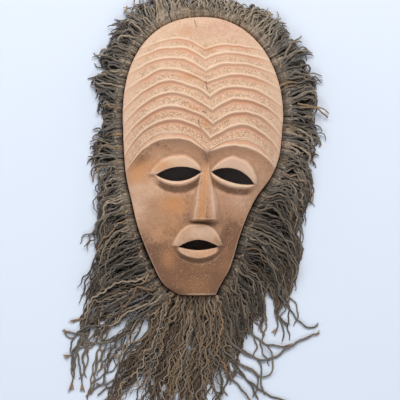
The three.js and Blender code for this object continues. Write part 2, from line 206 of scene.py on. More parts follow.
def curveThrough(points):
    xs, ys = np.array(points, float).T
    slope = np.empty(len(xs))
    slope[1:-1] = (ys[2:] - ys[:-2]) / (xs[2:] - xs[:-2])
    slope[0] = (ys[1] - ys[0]) / (xs[1] - xs[0])
    slope[-1] = (ys[-1] - ys[-2]) / (xs[-1] - xs[-2])

    def value(x):
        x = np.clip(x, xs[0], xs[-1])
        i = np.clip(np.searchsorted(xs, x, side="right") - 1, 0, len(xs) - 2)
        span = xs[i + 1] - xs[i]
        u = (x - xs[i]) / span
        bend = slope[i] * span * u * (1 - u) ** 2 + slope[i + 1] * span * u * u * (u - 1)
        return mix(ys[i], ys[i + 1], u * u * (3 - 2 * u)) + bend

    return value


def makeField(seed, size=256):  # soft random relief, -1 to 1, over a plane, where it repeats at each size
    table = np.random.default_rng(seed).uniform(-1, 1, (size, size))

    def value(x, y):
        i = np.floor(x).astype(int)
        j = np.floor(y).astype(int)
        u = x - i
        v = y - j
        u = u * u * (3 - 2 * u)
        v = v * v * (3 - 2 * v)
        a = mix(table[i % size, j % size], table[(i + 1) % size, j % size], u)
        b = mix(table[i % size, (j + 1) % size], table[(i + 1) % size, (j + 1) % size], u)
        return mix(a, b, v)

    return value


def unit(vectors):  # each made one long
    return vectors / np.maximum(np.linalg.norm(vectors, axis=-1, keepdims=True), 1e-9)


def quarterTurn(vectors):  # each turned left on the plane
    return np.stack([-vectors[..., 1], vectors[..., 0]], -1)


def runAlong(points):  # how far a line has run at each of its points
    return np.concatenate([[0], np.cumsum(np.linalg.norm(np.diff(points, axis=0), axis=1))])


def setVectors(data, label, vectors):
    vectors = np.asarray(vectors, np.float32)
    data.attributes.new(label, "FLOAT_VECTOR", "POINT").data.foreach_set("vector", vectors.ravel())


def getVectors(items, label):
    values = np.empty(3 * len(items), np.float32)
    items.foreach_get(label, values)
    return values.reshape(-1, 3)


def makeMesh(name, points, faces, vectors=None):
    # points in mm in the carving's own frame, faces as arrays of equal-sided faces
    data = bpy.data.meshes.new(name)
    points = (np.asarray(points, float) + shift) * mm
    data.vertices.add(len(points))
    data.vertices.foreach_set("co", points.astype(np.float32).ravel())
    corners = np.concatenate([np.asarray(group, np.int32).ravel() for group in faces])
    sizes = np.concatenate([np.full(len(group), len(group[0]), np.int32) for group in faces])
    data.loops.add(len(corners))
    data.loops.foreach_set("vertex_index", corners)
    data.polygons.add(len(sizes))
    data.polygons.foreach_set("loop_start", np.concatenate([[0], np.cumsum(sizes)[:-1]]).astype(np.int32))
    data.polygons.foreach_set("loop_total", sizes)
    for label, values in (vectors or {}).items():
        setVectors(data, label, values)
    data.update(calc_edges=True)
    return addObject(name, data)


def gridFaces(rows, columns):
    at = np.arange((rows - 1) * columns).reshape(rows - 1, columns)[:, :-1].ravel()
    return np.stack([at, at + columns, at + columns + 1, at + 1], 1)


# The carving, in mm. Shares run from the chin, 0, to the crown, 1, and from the middle, 0, to the edge, 1.
carving = {
    "height": 360.0, "width": 208.0, "wall": 10.0, "thickness": 12.0, "rimDepth": 30.0, "foreheadBulge": 36.0,
    "cheekBulge": 27.0, "ridgeHeight": 5.2, "browBand": 9.0, "browCove": 22.0, "noseRise": 16.0,
    "lidRise": 6.0, "lipRise": 6.5, "widestAt": 0.637, "leftCrown": 2.3, "rightCrown": 2.08, "ridges": 8, "trough": 0.34,
    "noseAxis": 0.02, "noseTop": 0.442, "noseTip": 0.272, "edgeRound": 1.6,
}
height = carving["height"]
halfWidth = carving["width"] / 2
leftJaw = curveThrough([
    [0, 0.3], [0.034, 0.475], [0.1, 0.61], [0.235, 0.8], [0.342, 0.892], [0.43, 0.958], [0.52, 0.985],
    [carving["widestAt"], 1]])
rightJaw = curveThrough([
    [0, 0.16], [0.034, 0.215], [0.1, 0.34], [0.235, 0.485], [0.344, 0.65], [0.424, 0.845], [0.5, 0.95],
    [carving["widestAt"], 1]])
lowerAxis = curveThrough([[0, -0.09], [0.17, -0.05], [0.28, carving["noseAxis"]], [0.5, carving["noseAxis"]]])


def edgeX(y, side):
    t = clamp01(y / height)
    u = clamp01((t - carving["widestAt"]) / (1 - carving["widestAt"]))
    roundness = np.where(side < 0, carving["leftCrown"], carving["rightCrown"])
    crown = (1 - u ** roundness) ** (1 / roundness)
    jaw = np.where(side < 0, leftJaw(t), rightJaw(t))
    return side * halfWidth * np.where(t <= carving["widestAt"], jaw, crown)


def centreX(y):
    t = y / height
    return halfWidth * (lowerAxis(t) + 0.105 * np.exp(-(((t - 0.635) / 0.115) ** 2)))


def ridgeY(k, across, side):
    down = k / carving["ridges"]
    tip = 0.881 - 0.369 * down ** 1.15
    rise = np.where(side < 0, 0.041 + 0.033 * down ** 1.3, 0.018 + 0.032 * down)
    peak = np.where(side < 0, 0.45, 0.42)
    reach = np.where(across < peak, peak, mix(0.6, 0.4, np.minimum(2 * down, 1)))
    return height * (tip + rise * (1 - ((across - peak) / reach) ** 2))


def browEdgeY(across, side):
    band = carving["browBand"] * np.sin(np.pi * clamp01(across)) ** 0.8
    return ridgeY(carving["ridges"], across, side) - band


# Places in shares, sizes in shares of half the width, tilt in degrees anticlockwise.
openings = {
    "leftEye": {
        "x": -0.3, "y": 0.437, "half": 0.28, "up": 0.082, "down": 0.097, "tilt": 4, "bow": 2,
        "lid": 0.2, "reach": (0.37, 0.3), "arch": 2.4, "rise": carving["lidRise"],
        "ledge": 0.035, "fall": 0.12, "shadow": 0.62},
    "rightEye": {
        "x": 0.368, "y": 0.42, "half": 0.278, "up": 0.118, "down": 0.056, "tilt": -16, "bow": 2,
        "lid": 0.232, "reach": (0.285, 0.32), "arch": 2.5, "rise": carving["lidRise"],
        "ledge": 0.04, "fall": 0.11, "shadow": 0.5},
    "mouth": {
        "x": -0.056, "y": 0.1745, "half": 0.25, "up": 0.09, "down": 0.045, "tilt": 0, "bow": 1.6,
        "lid": 0.265, "reach": (0.33, 0.31), "arch": 2.7, "rise": carving["lipRise"],
        "ledge": 0.095, "fall": 0.065, "shadow": 0.4},
}
slitFloor, slitTop = 1.0, 82.0  # how far down and up the slits are cut


def slitEdge(opening, along):
    u = np.minimum(np.abs(along) / (opening["half"] * halfWidth), 1)
    return halfWidth * (1 - u ** opening["bow"]) ** 0.9


def turned(opening, x, y):
    turn = math.radians(opening["tilt"])
    dx = x - opening["x"] * halfWidth
    dy = y - opening["y"] * height
    return dx * math.cos(turn) + dy * math.sin(turn), dy * math.cos(turn) - dx * math.sin(turn)


def underSlit(opening, along, above):
    # shares: from the middle of the slit, over the ledge below it, and past that
    u = np.abs(along) / (opening["half"] * halfWidth)
    below = -above - opening["down"] * slitEdge(opening, along)
    ledge = opening["ledge"] * halfWidth * np.sqrt(np.maximum(1 - (u / 1.1) ** 2, 0.02))
    return u, below / ledge, (below - ledge) / (opening["fall"] * halfWidth)


def openingRelief(opening, x, y):
    along, above = turned(opening, x, y)
    spread = np.abs(along) / (halfWidth * np.where(along < 0, *opening["reach"]))
    crest = opening["lid"] * halfWidth * (1 - spread ** opening["arch"])
    edge = opening["up"] * slitEdge(opening, along)
    over = (above - edge) / np.maximum(crest - edge, 1)
    beyond = np.exp(-(((above - crest) / 3.4) ** 2))
    lid = np.where(over < 1, mix(0.78, 1.0, smooth(-0.1, 0.9, over)), beyond)
    lid = opening["rise"] * lid * smooth(1.12, 0.8, spread)
    u, over, past = underSlit(opening, along, above)
    shelf = mix(0.7, 1.0, clamp01(over))
    groove = mix(mix(shelf, -0.3, clamp01(past / 0.8) ** 0.8), 0, smooth(0.6, 1.4, past))
    lower = opening["rise"] * groove * smooth(1.2, 0.85, u)
    return mix(lower, lid, smooth(-1.8, 2.2, above))


def noseRelief(x, y):
    t = y / height
    down = clamp01((carving["noseTop"] - t) / (carving["noseTop"] - carving["noseTip"]))
    half = halfWidth * mix(0.062, 0.2, down ** 0.7)
    ridge = carving["noseRise"] * mix(0.16, 1, down ** 0.9)
    u = (x - centreX(y)) / half
    ridgeAt = 0.12 - 0.1 * down
    top = 1 - 0.2 * np.where(u < ridgeAt, ridgeAt - u, u - ridgeAt)
    flank = top * smooth(1.03, 0.62, np.abs(u))
    end = smooth(carving["noseTip"] - 0.011, carving["noseTip"] + 0.002, t) * smooth(0.482, 0.44, t)
    stripe = smooth(-0.4, -0.2, u) * smooth(ridgeAt + 0.12, ridgeAt - 0.12, u) * end
    return ridge * flank * end, smooth(1.0, 0.8, np.abs(u)) * end, stripe


def fullness(x, y, bulge, along):
    left = edgeX(y, -1)
    right = edgeX(y, 1)
    across = clamp01(np.abs(2 * x - left - right) / np.maximum(right - left, 1))
    return carving["rimDepth"] + bulge * along * (1 - across ** 2.3)


def forehead(x, y):
    return fullness(x, y, carving["foreheadBulge"], 1 - clamp01((y / height - 0.62) / 0.38) ** 2.4)


def cheeks(x, y):
    return fullness(x, y, carving["cheekBulge"], mix(0.42, 1, smooth(0, 0.42, y / height)))


def ridgePlace(y, across, side):  # which ridge lies above each point, and how far down to the next it is
    above = np.zeros(y.shape)
    share = np.zeros(y.shape)
    for k in range(carving["ridges"]):
        high = ridgeY(k, across, side)
        low = ridgeY(k + 1, across, side)
        here = (y <= high) & (y > low)
        above = np.where(here, k, above)
        share = np.where(here, (high - y) / (high - low), share)
    return above, share


def ridgeForm(u):
    trough = carving["trough"]
    climb = 2 * clamp01((u - trough) / (1 - trough)) ** 1.3 - 1
    return np.where(u < trough, np.cos(np.pi * u / trough), climb)


def ridgeRelief(y, across, side):
    def size(k):
        return 0.5 * carving["ridgeHeight"] * mix(0.45, 1, k / carving["ridges"])

    fade = 1 - 0.55 * smooth(0.7, 1, across)
    top = ridgeY(0, across, side)
    brow = ridgeY(carving["ridges"], across, side)
    above, u = ridgePlace(y, across, side)
    between = mix(size(above), size(above + 1), u) * ridgeForm(u)
    over = size(0) * (1 - smooth(0, 0.04 * height, y - top))
    band = np.maximum(brow - browEdgeY(across, side), 0.5)
    under = size(carving["ridges"]) * mix(0.15, 0.85, 0.5 + 0.5 * ridgeForm(clamp01((brow - y) / band)))
    return fade * np.where(y >= top, over, np.where(y < brow, under, between))


def faceZ(x, y, across, side):
    browEdge = browEdgeY(across, side)
    upper = forehead(x, y) + ridgeRelief(y, across, side)
    cove = clamp01(1 - (browEdge - y) / carving["browCove"]) ** 2
    overhang = forehead(x, y) + ridgeRelief(browEdge, across, side) - cheeks(x, y)
    lids = np.zeros(y.shape)
    for opening in openings.values():
        relief = openingRelief(opening, x, y)
        lids = np.where((np.abs(lids) < 0.01) & (np.abs(relief) > 0.01), relief, lids)
    nose, cover, _ = noseRelief(x, y)
    return np.where(y >= browEdge, upper, cheeks(x, y) + cove * overhang + lids * (1 - cover) + nose)


def outlinePoints(steps=160):  # clockwise from the middle of the chin
    y = height * np.sin(0.5 * np.pi * np.arange(steps + 1) / steps)
    left = np.stack([edgeX(y, -1), y], 1)
    right = np.stack([edgeX(y, 1), y], 1)[::-1][1:]
    return np.concatenate([[[float(centreX(np.array(0.0))), 0.0]], left, right])


outline = outlinePoints()


def distanceToEdge(x, y):
    near = np.full(x.size, 1e9)
    along = np.roll(outline, -1, 0) - outline
    length = np.maximum((along ** 2).sum(1), 1e-9)
    flat = np.stack([x.ravel(), y.ravel()], 1)
    for i in range(0, len(flat), 4000):
        part = flat[i:i + 4000, None] - outline[None]
        u = clamp01((part * along[None]).sum(2) / length)
        near[i:i + 4000] = np.sqrt(((part - u[..., None] * along[None]) ** 2).sum(2).min(1))
    return near.reshape(x.shape)


# The face's grid: columns in one half, rows over the forehead, through each ridge, through the brow's edge,
# down to the eyes, and the step between the rows below them, in mm.
grid = {
    "half": 80, "crown": 56, "brow": 44, "eyes": 0.44, "step": 0.98,
    "ridge": (0, 0.03, 0.07, 0.12, 0.17, 0.22, 0.27, 0.32, 0.37, 0.43, 0.5, 0.58, 0.66, 0.74, 0.82, 0.89,
              0.94, 0.975),
    "band": (0, 0.12, 0.3, 0.5, 0.7, 0.85),
}


def faceRows():  # rows follow the ridges, so that each crest is crisp
    half = grid["half"]
    share = np.arange(half + 1) / half
    step = share - 0.45 * np.sin(2 * np.pi * share) / (2 * np.pi)
    across = np.concatenate([step[::-1], step[1:]])
    side = np.concatenate([-np.ones(half + 1), np.ones(half)])
    top = ridgeY(0, across, side)
    brow = ridgeY(carving["ridges"], across, side)
    edge = browEdgeY(across, side)
    eyes = grid["eyes"] * height
    crown = 1 - (np.arange(grid["crown"]) + 0.25) / (grid["crown"] + 0.25)
    lines = [mix(top, height, math.sin(0.5 * math.pi * u)) for u in crown]
    for k in range(carving["ridges"]):
        lines += [mix(ridgeY(k, across, side), ridgeY(k + 1, across, side), u) for u in grid["ridge"]]
    lines += [mix(brow, edge, u) for u in grid["band"]]
    lines += [mix(edge, eyes, (i / grid["brow"]) ** 1.15) for i in range(grid["brow"])]
    lines += [np.full(across.shape, y) for y in (*np.arange(eyes, 0.6, -grid["step"]), 0.0)]
    y = np.minimum(np.array(lines), height - 0.01)
    across = np.broadcast_to(across, y.shape)
    side = np.broadcast_to(side, y.shape)
    return mix(centreX(y), edgeX(y, side), across), y, across, side


def closedBlock(name, x, y, z, floor, levels, wander=None):  # a block between a floor and a grid of heights
    rows, columns = x.shape
    top = np.stack([x.ravel(), y.ravel(), z.ravel()], 1)
    number = np.arange(rows * columns).reshape(rows, columns)
    loop = np.concatenate([number[:, 0], number[-1, 1:], number[-2::-1, -1], number[0, -2:0:-1]])
    around = top[loop]
    outward = -quarterTurn(unit(np.roll(around, -1, 0)[:, :2] - np.roll(around, 1, 0)[:, :2]))
    run = runAlong(around[:, :2])
    points = [top]
    faces = [gridFaces(rows, columns)]
    last = loop
    for level in range(1, levels + 1):
        share = level / levels
        ring = around.copy()
        ring[:, 2] = mix(around[:, 2], floor, share)
        if wander:
            ring[:, :2] += outward * wander(run, ring[:, 2])[:, None] * math.sin(math.pi * share)
        at = len(top) + (level - 1) * len(loop) + np.arange(len(loop))
        faces.append(np.stack([last, np.roll(last, -1), np.roll(at, -1), at], 1))
        points.append(ring)
        last = at
    faces.append(last[::-1][None])
    return makeMesh(name, np.concatenate(points), faces)


def facingOut(piece):
    work = bmesh.new()
    work.from_mesh(piece.data)
    bmesh.ops.recalc_face_normals(work, faces=work.faces)
    work.to_mesh(piece.data)
    work.free()


def cutAway(piece, cutters):
    for cutter in cutters:
        facingOut(cutter)
        cut = piece.modifiers.new("cut", "BOOLEAN")
        cut.operation = "DIFFERENCE"
        cut.solver = "EXACT"
        cut.object = cutter
    bpy.context.view_layer.update()
    finished = bpy.data.meshes.new_from_object(piece.evaluated_get(bpy.context.evaluated_depsgraph_get()))
    piece.modifiers.clear()
    piece.data = finished
    for cutter in cutters:
        bpy.data.objects.remove(cutter)


def insideX(y, side):  # the inside of the wall, one wall thickness from every point of the outline
    wall = carving["wall"]
    px, py = outline.T
    near = (np.abs(py[None] - y[:, None]) < wall) & ((px[None] - centreX(y)[:, None]) * side > 0)
    reach = side * px[None] - np.sqrt(np.maximum(wall ** 2 - (py[None] - y[:, None]) ** 2, 0))
    return side * np.where(near, reach, 1e9).min(1)


gouge = {"length": 21.0, "width": 11.0, "depth": 1.3, "fillet": 9.0}


def gougeMarks(x, y, seed):  # long scooped cuts, each 0 at its middle and up to 1 where two meet
    u = x / gouge["width"]
    v = y / gouge["length"]
    jitter = np.random.default_rng(seed).uniform(-0.32, 0.32, (64, 64, 2))
    near = np.full(x.shape, 9.0)
    for i in (-1, 0, 1):
        for j in (-1, 0, 1):
            a = np.floor(u).astype(int) + i
            b = np.floor(v).astype(int) + j
            middle = jitter[a % 64, b % 64]
            near = np.minimum(near, (u - a - 0.5 - middle[..., 0]) ** 2 + (v - b - 0.5 - middle[..., 1]) ** 2)
    return np.minimum(near, 1)


def hollowBlock():
    wall = carving["wall"]
    u = np.sin(0.5 * np.pi * np.arange(104) / 103)[::-1]
    y = mix(wall, height - wall, u)
    left = insideX(y, -1)
    right = insideX(y, 1)
    v = np.arange(61) / 60
    v = v - 0.6 * np.sin(2 * np.pi * v) / (2 * np.pi)
    x = mix(left[:, None], right[:, None], v[None])
    y = np.broadcast_to(y[:, None], x.shape)
    roof = mix(cheeks(x, y), forehead(x, y), smooth(0.47, 0.6, y / height)) - carving["thickness"]
    near = np.minimum(x - left[:, None], right[:, None] - x)
    near = np.minimum(near, np.minimum(y - wall, height - wall - y))
    near = np.clip(near, 0, gouge["fillet"])
    roof = roof - gouge["fillet"] + np.sqrt(gouge["fillet"] ** 2 - (gouge["fillet"] - near) ** 2)
    roof = roof + gouge["depth"] * (0.4 - gougeMarks(x, y, 5))
    return closedBlock("hollow", x, y, roof, -5.0, 5)


def slitBlock(opening):
    steps = 26
    along = opening["half"] * halfWidth * np.cos(np.pi * np.arange(steps + 1) / steps)
    edge = slitEdge(opening, along)
    upper = np.stack([along, opening["up"] * edge], 1)
    lower = np.stack([along[::-1], -opening["down"] * edge], 1)[1:-1]
    ring = np.concatenate([upper, lower])
    turn = math.radians(opening["tilt"])
    x = ring[:, 0] * math.cos(turn) - ring[:, 1] * math.sin(turn) + opening["x"] * halfWidth
    y = ring[:, 0] * math.sin(turn) + ring[:, 1] * math.cos(turn) + opening["y"] * height
    count = len(x)
    points = np.concatenate([np.stack([x, y, np.full(count, z)], 1) for z in (slitFloor, slitTop)])
    at = np.arange(count)
    after = np.roll(at, -1)
    sides = np.stack([at, after, after + count, at + count], 1)
    return makeMesh("slit", points, [sides, at[::-1][None], (at + count)[None]])


def nearSlit(x, y):  # distance from the nearest slit's edge, roughly, in mm
    near = np.full(x.shape, 99.0)
    for opening in openings.values():
        along, above = turned(opening, x, y)
        edge = np.where(above >= 0, opening["up"], opening["down"]) * slitEdge(opening, along)
        beside = np.maximum(np.abs(along) - opening["half"] * halfWidth, 0)
        near = np.minimum(near, np.hypot(np.maximum(np.abs(above) - edge, 0), beside))
    return near


broadRelief = makeField(21)
fineRelief = makeField(22)
strokeRelief = makeField(23)


def ridgeWander(x, y):  # the ridges were cut by eye, so they waver a little
    waver = 1.3 * broadRelief(x / 19.0, y / 15.0) + 0.6 * strokeRelief(x / 8.0, y / 11.0)
    return smooth(-25, 5, y - 185) * waver


def curvatureOf(data, rounds):  # for each mm, positive where the surface bulges
    count = len(data.vertices)
    place = getVectors(data.vertices, "co").astype(float) / mm
    facing = getVectors(data.vertex_normals, "vector").astype(float)
    pairs = np.empty(2 * len(data.edges), np.int32)
    data.edges.foreach_get("vertices", pairs)
    a, b = pairs.reshape(-1, 2).T

    def summed(atA, atB):  # over the edges that meet at each point
        return np.bincount(a, atA, count) + np.bincount(b, atB, count)

    step = place[b] - place[a]
    bend = ((facing[b] - facing[a]) * step).sum(1) / np.maximum((step ** 2).sum(1), 0.09)
    bend = np.clip(bend, -0.5, 0.5)
    number = np.maximum(summed(None, None), 1)
    value = summed(bend, bend) / number
    for _ in range(rounds):
        value = 0.4 * value + 0.6 * summed(value[b], value[a]) / number
    return value


picture = {"x": 203.0, "y": 295.0, "scale": 1.295}  # the pixel at the carving's 0, 0, and the mm to a pixel


def onPicture(x, y):  # a point of the picture, in its pixels, as the carving's own mm
    return np.array([(x - picture["x"]) * picture["scale"], (picture["y"] - y) * picture["scale"]])


# Soft patches on the face: middle and half sizes in pixels of the picture, how much darker and how much warmer.
# Some are the wood's own colour; others are painted shade, in the brow hollows, beside and under the nose, on
# the chin, right cheek and right jaw, or painted light, on the nose's two faces and the lips.
toneLightAndShadePatches = [
    (138, 176, 11, 9, 0.12, 0.8), (163, 166, 13, 7, -0.08, 0.75), (186, 160, 12, 6, -0.15, 0.2),
    (235, 164, 17, 9, -0.18, -0.5), (137, 205, 8, 28, -0.3, 0.0), (152, 192, 10, 8, -0.22, 0.1),
    (175, 205, 17, 12, 0.06, 0.75), (183, 228, 12, 8, 0.1, 0.3), (166, 229, 15, 13, 0.06, 0.3),
    (189, 205, 4, 20, 0.12, -0.1), (223, 208, 6, 18, 0.1, -0.1), (238, 200, 15, 9, -0.12, -0.5),
    (241, 208, 8, 10, -0.1, 0.4), (236, 232, 13, 16, 0.3, 0.2), (205, 224, 13, 3, 0.35, 0.0),
    (204, 233, 20, 8, -0.36, -0.12), (176, 243, 7, 6, -0.25, 0.2), (200, 253, 20, 4, -0.42, 0.5),
    (190, 284, 30, 14, 0.42, 0.3), (205, 29, 34, 9, 0.1, 0.0), (205, 206, 7, 16, 0.2, 0.0),
    (228, 264, 7, 22, 0.35, 0.3), (158, 236, 9, 16, -0.12, 0.2), (200, 266, 26, 5, 0.15, 0.2),
    (168, 258, 9, 10, -0.08, 0.3), (226, 30, 28, 12, 0.06, -0.4), (189, 33, 9, 6, 0.13, 0.4),
    (209, 50, 6, 3.5, 0.2, 0.8), (190, 77, 13, 3.5, 0.12, 0.8), (206, 85, 7, 3, 0.12, 0.6),
    (192, 109, 14, 4, 0.06, 0.7), (206, 124, 7, 6, 0.06, 0.6), (240, 110, 25, 12, 0.05, -0.4),
    (150, 90, 20, 30, -0.04, 0.15), (196, 203, 4.5, 18, -0.2, 0.1), (214, 203, 4.5, 18, -0.42, -0.3),
    (206, 176, 4, 7, -0.02, 0.5), (206, 159, 7, 8, 0.28, 0.1), (141, 163, 13, 8, 0.38, 0.3),
    (163, 149, 18, 5, 0.14, 0.15), (204, 220, 12, 3, 0.3, 0.0), (172, 208, 12, 9, 0.14, 0.2),
    (168, 262, 11, 12, -0.14, 0.2), (225, 252, 9, 13, 0.46, 0.0), (162, 236, 14, 10, -0.07, 0.1),
]


def woodToneAndShade(x, y, across, side):  # how dark and how warm the wood is, painted shade and painted light included, before wear, grain and the painted light and shade of bulges and creases
    px = x / picture["scale"] + picture["x"]
    py = picture["y"] - y / picture["scale"]
    under = browEdgeY(across, side) - y
    # darker below the brow edge, and darker still in the hollow just under it, as painted shade
    dark = mix(0.1, 0.5, smooth(-1.0, 2.0, under)) + 0.16 * smooth(0, 2, under) * smooth(34, 4, under)
    # darker towards the chin, and painted shade along the chin's edge
    dark = dark + 0.14 * smooth(150, 120, y) + 0.82 * smooth(115, 15, y)
    dark = dark + 0.55 * smooth(3.2, 0.3, distanceToEdge(x, y)) * smooth(70, 5, y)
    for opening in openings.values():
        # painted shadow in the groove under each slit, and painted light on the raised lids and lips
        relief = openingRelief(opening, x, y) / opening["rise"]
        u, _, past = underSlit(opening, *turned(opening, x, y))
        shadow = smooth(0.0, 0.32, past) * smooth(1.15, 0.75, past) * smooth(1.1, 0.75, u)
        dark = dark + opening["shadow"] * shadow
        dark = dark - 0.42 * smooth(0.3, 0.85, relief) * smooth(0, 2, under)
    stripe = noseRelief(x, y)[2]
    band = smooth(0, 1.5, -under) * smooth(70, 10, -under) * np.where(side < 0, 1, 0.5)
    dark = dark + 0.3 * stripe + 0.1 * band
    warm = 0.1 * broadRelief(x / 21.0, y / 27.0)
    for cx, cy, rx, ry, darker, warmer in toneLightAndShadePatches:
        near = np.exp(-(((px - cx) / rx) ** 2 + ((py - cy) / ry) ** 2))
        dark = dark + darker * near
        warm = warm + warmer * near
    return dark, warm + 0.9 * stripe


def placeOnFace(x, y):
    side = np.where(x < centreX(y), -1.0, 1.0)
    span = edgeX(y, side) - centreX(y)
    return clamp01((x - centreX(y)) / np.where(np.abs(span) < 1e-6, 1e-6, span)), side


def carvedHeights():  # the face's grid with its tool marks, the waver of its ridges and its rounded edges
    x, y, across, side = faceRows()
    z = faceZ(x, y, across, side)
    brow = browEdgeY(across, side)
    _, u = ridgePlace(y, across, side)
    banded = (y > brow) & (y < ridgeY(0, across, side))
    rough = np.where(banded, smooth(0.36, 0.55, u), smooth(0.0, 12.0, y - brow))
    z = z + 0.2 * rough * fineRelief(x / 2.3, y / 1.7)
    z = z + 0.16 * rough * strokeRelief(x / 7.0 + y / 31.0, y / 3.1)
    uneven = 0.45 * broadRelief(x / 17.0, y / 23.0) + 0.2 * strokeRelief(x / 5.5, y / 9.0)
    z = z + np.where(y < brow, 1.0, 0.35) * uneven
    edge = distanceToEdge(x, y)
    rounding = carving["edgeRound"]
    z = z - rounding + np.sqrt(rounding ** 2 - (rounding - np.clip(edge, 0, rounding)) ** 2)
    z = z - 0.9 * np.exp(-((nearSlit(x, y) / 1.1) ** 2))
    return x, y + ridgeWander(x, y) * smooth(0, 14, edge), z


def adzed(run, up):  # how far the side wall stands out
    return 0.35 * broadRelief(run / 9.0, up / 13.0) + 0.15 * fineRelief(run / 2.5, up / 5.0)


def faceLooks(data):  # what the wood's material reads at each point of the mesh
    px, py, pz = (getVectors(data.vertices, "co") / mm - shift).T.astype(float)
    edge = distanceToEdge(px, py)
    drawn = py - ridgeWander(px, py) * smooth(0, 14, edge)
    across, side = placeOnFace(px, drawn)
    above, u = ridgePlace(drawn, across, side)
    top = ridgeY(0, across, side)
    last = ridgeY(carving["ridges"], across, side)
    browEdge = browEdgeY(across, side)
    spacing = np.maximum(ridgeY(above, across, side) - ridgeY(above + 1, across, side), 1)
    banded = (drawn > last) & (drawn < top)
    outer = np.minimum(np.abs(drawn - top), np.abs(drawn - last))
    toCrest = np.where(banded, np.minimum(u, 1 - u) * spacing, outer)
    toCrest = np.minimum(toCrest, np.abs(drawn - browEdge))
    inBrow = (last - drawn) / np.maximum(last - browEdge, 0.5)
    underBrow = smooth(0.05, 0.25, inBrow) * smooth(0.95, 0.5, inBrow)
    middle = smooth(0.02, 0.2, across) * smooth(0.98, 0.6, across)
    varied = 0.75 + 0.55 * broadRelief(px / 24.0 + 7.0, above * 3.7)
    # partly the wood's pinker tone and partly painted shade: the band just under each crest, and under the
    # brow's outer crest
    cove = np.where(banded, smooth(0.02, 0.1, u) * smooth(0.6, 0.36, u), underBrow)
    cove = cove * mix(0.25, 1, middle) * varied
    # painted highlight: a light line along each crest and along the brow's edge
    crest = np.exp(-((toCrest / 1.2) ** 2)) * mix(1.0, 0.5, smooth(0.75, 1, across))
    crown = smooth(0, 10, drawn - last) * mix(1, 0.25, smooth(0, 8, drawn - top))
    banding = smooth(0.34, 0.5, u) * smooth(0.97, 0.9, u) * mix(0.85, 1.4, above / carving["ridges"])
    rough = np.where(banded, banding, crown) * smooth(1, 0.8, across)
    dark, warm = woodToneAndShade(px, drawn, across, side)
    inside = (edge > 9) & (pz < faceZ(px, drawn, across, side) - 5)
    bend = curvatureOf(data, 2)
    below = smooth(2.0, -3.0, drawn - browEdge)
    return {
        "ridge": np.stack([clamp01(cove), crest, rough], 1),
        "zone": np.stack([dark, warm, inside], 1),
        # lighter on bulges, partly wear and partly painted highlight; darker in creases, as painted shade; and
        # the face below the brow
        "wear": np.stack([smooth(0.03, 0.15, bend), smooth(-0.015, -0.11, bend), below], 1),
    }


def carveFace():
    piece = closedBlock("carvedFace", *carvedHeights(), 0.0, 6, adzed)
    facingOut(piece)
    cutAway(piece, [hollowBlock()] + [slitBlock(opening) for opening in openings.values()])
    data = piece.data
    data.name = "carvedFace"
    data.shade_smooth()
    data.set_sharp_from_angle(angle=math.radians(48))
    for label, vectors in faceLooks(data).items():
        setVectors(data, label, vectors)
    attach(piece, "root")
    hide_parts("mask_face")
    print("carved face:", sum(len(face.vertices) - 2 for face in data.polygons), "triangles")
    return piece


# The fringe, in mm. Shares run clockwise round the rim from the middle of the chin.
fringe = {
    "seed": 7, "heading": 10.0, "clearance": 0.4, "ringHeight": 14.0, "core": 2.6, "rootThickness": 20.0,
    "tipThickness": 5.0, "lock": 27.0, "cheek": 82.0, "beard": 168.0, "ringOut": 6.2,
}
sections = {
    "beard_left": (0, 0.04), "jaw_left_lower": (0.04, 0.085), "jaw_left_upper": (0.085, 0.15),
    "temple_left_lower": (0.15, 0.23), "temple_left_upper": (0.23, 0.32), "crown_left_lower": (0.32, 0.41),
    "crown_left_upper": (0.41, 0.5), "crown_right_upper": (0.5, 0.59), "crown_right_lower": (0.59, 0.68),
    "temple_right_upper": (0.68, 0.76), "temple_right_lower": (0.76, 0.82), "jaw_right_upper": (0.82, 0.88),
    "jaw_right_lower": (0.88, 0.96), "beard_right": (0.96, 1),
}
lock, cheek, beard = fringe["lock"], fringe["cheek"], fringe["beard"]
reachAround = curveThrough([
    [0, beard], [0.04, 0.93 * beard], [0.075, 0.62 * beard], [0.1, 0.43 * beard], [0.145, 0.28 * beard],
    [0.19, 0.85 * lock], [0.245, lock], [0.29, 0.5 * lock], [0.34, 0.95 * lock], [0.45, 1.05 * lock],
    [0.5, 0.6 * lock], [0.61, lock], [0.72, 1.25 * lock], [0.8, 0.52 * cheek], [0.85, cheek],
    [0.91, 0.68 * cheek], [0.95, 0.9 * cheek], [0.97, 0.9 * beard], [1, beard]])


def rimPath(offset):  # the outline moved outwards, rounded at the corners of the chin
    points = []
    outwards = []
    count = len(outline)
    for i in range(count):
        before, corner, after = outline[i - 1], outline[i], outline[(i + 1) % count]
        first = math.atan2(before[0] - corner[0], corner[1] - before[1]) + math.pi
        second = math.atan2(corner[0] - after[0], after[1] - corner[1]) + math.pi
        sweep = math.atan2(math.sin(second - first), math.cos(second - first))
        parts = math.ceil(-sweep * offset / 2) + 2 if sweep < -0.15 else 0
        for part in range(parts + 1):
            angle = first + sweep * (part / parts if parts else 0.5)
            outward = np.array([math.cos(angle), math.sin(angle)])
            outwards.append(outward)
            points.append(corner + offset * outward)
    points = np.array(points + points[:1])
    outwards = np.array(outwards + outwards[:1])
    return points, outwards, runAlong(points)


rimOut = fringe["heading"] + 2 * fringe["clearance"]
ringInset = rimOut - fringe["ringOut"]
fringeRim = rimPath(rimOut)
rimLength = fringeRim[2][-1]


def rimAt(share):
    points, outwards, run = fringeRim
    at = np.mod(share, 1.0) * run[-1]
    point = np.stack([np.interp(at, run, points[:, 0]), np.interp(at, run, points[:, 1])], -1)
    outward = np.stack([np.interp(at, run, outwards[:, 0]), np.interp(at, run, outwards[:, 1])], -1)
    return point, unit(outward)


def withHeight(path, z):
    return np.concatenate([path, z[..., None]], -1)


def movedAside(path, drift):
    return path + quarterTurn(unit(np.gradient(path, axis=1))) * drift[..., None]


twistPitch = 9.0


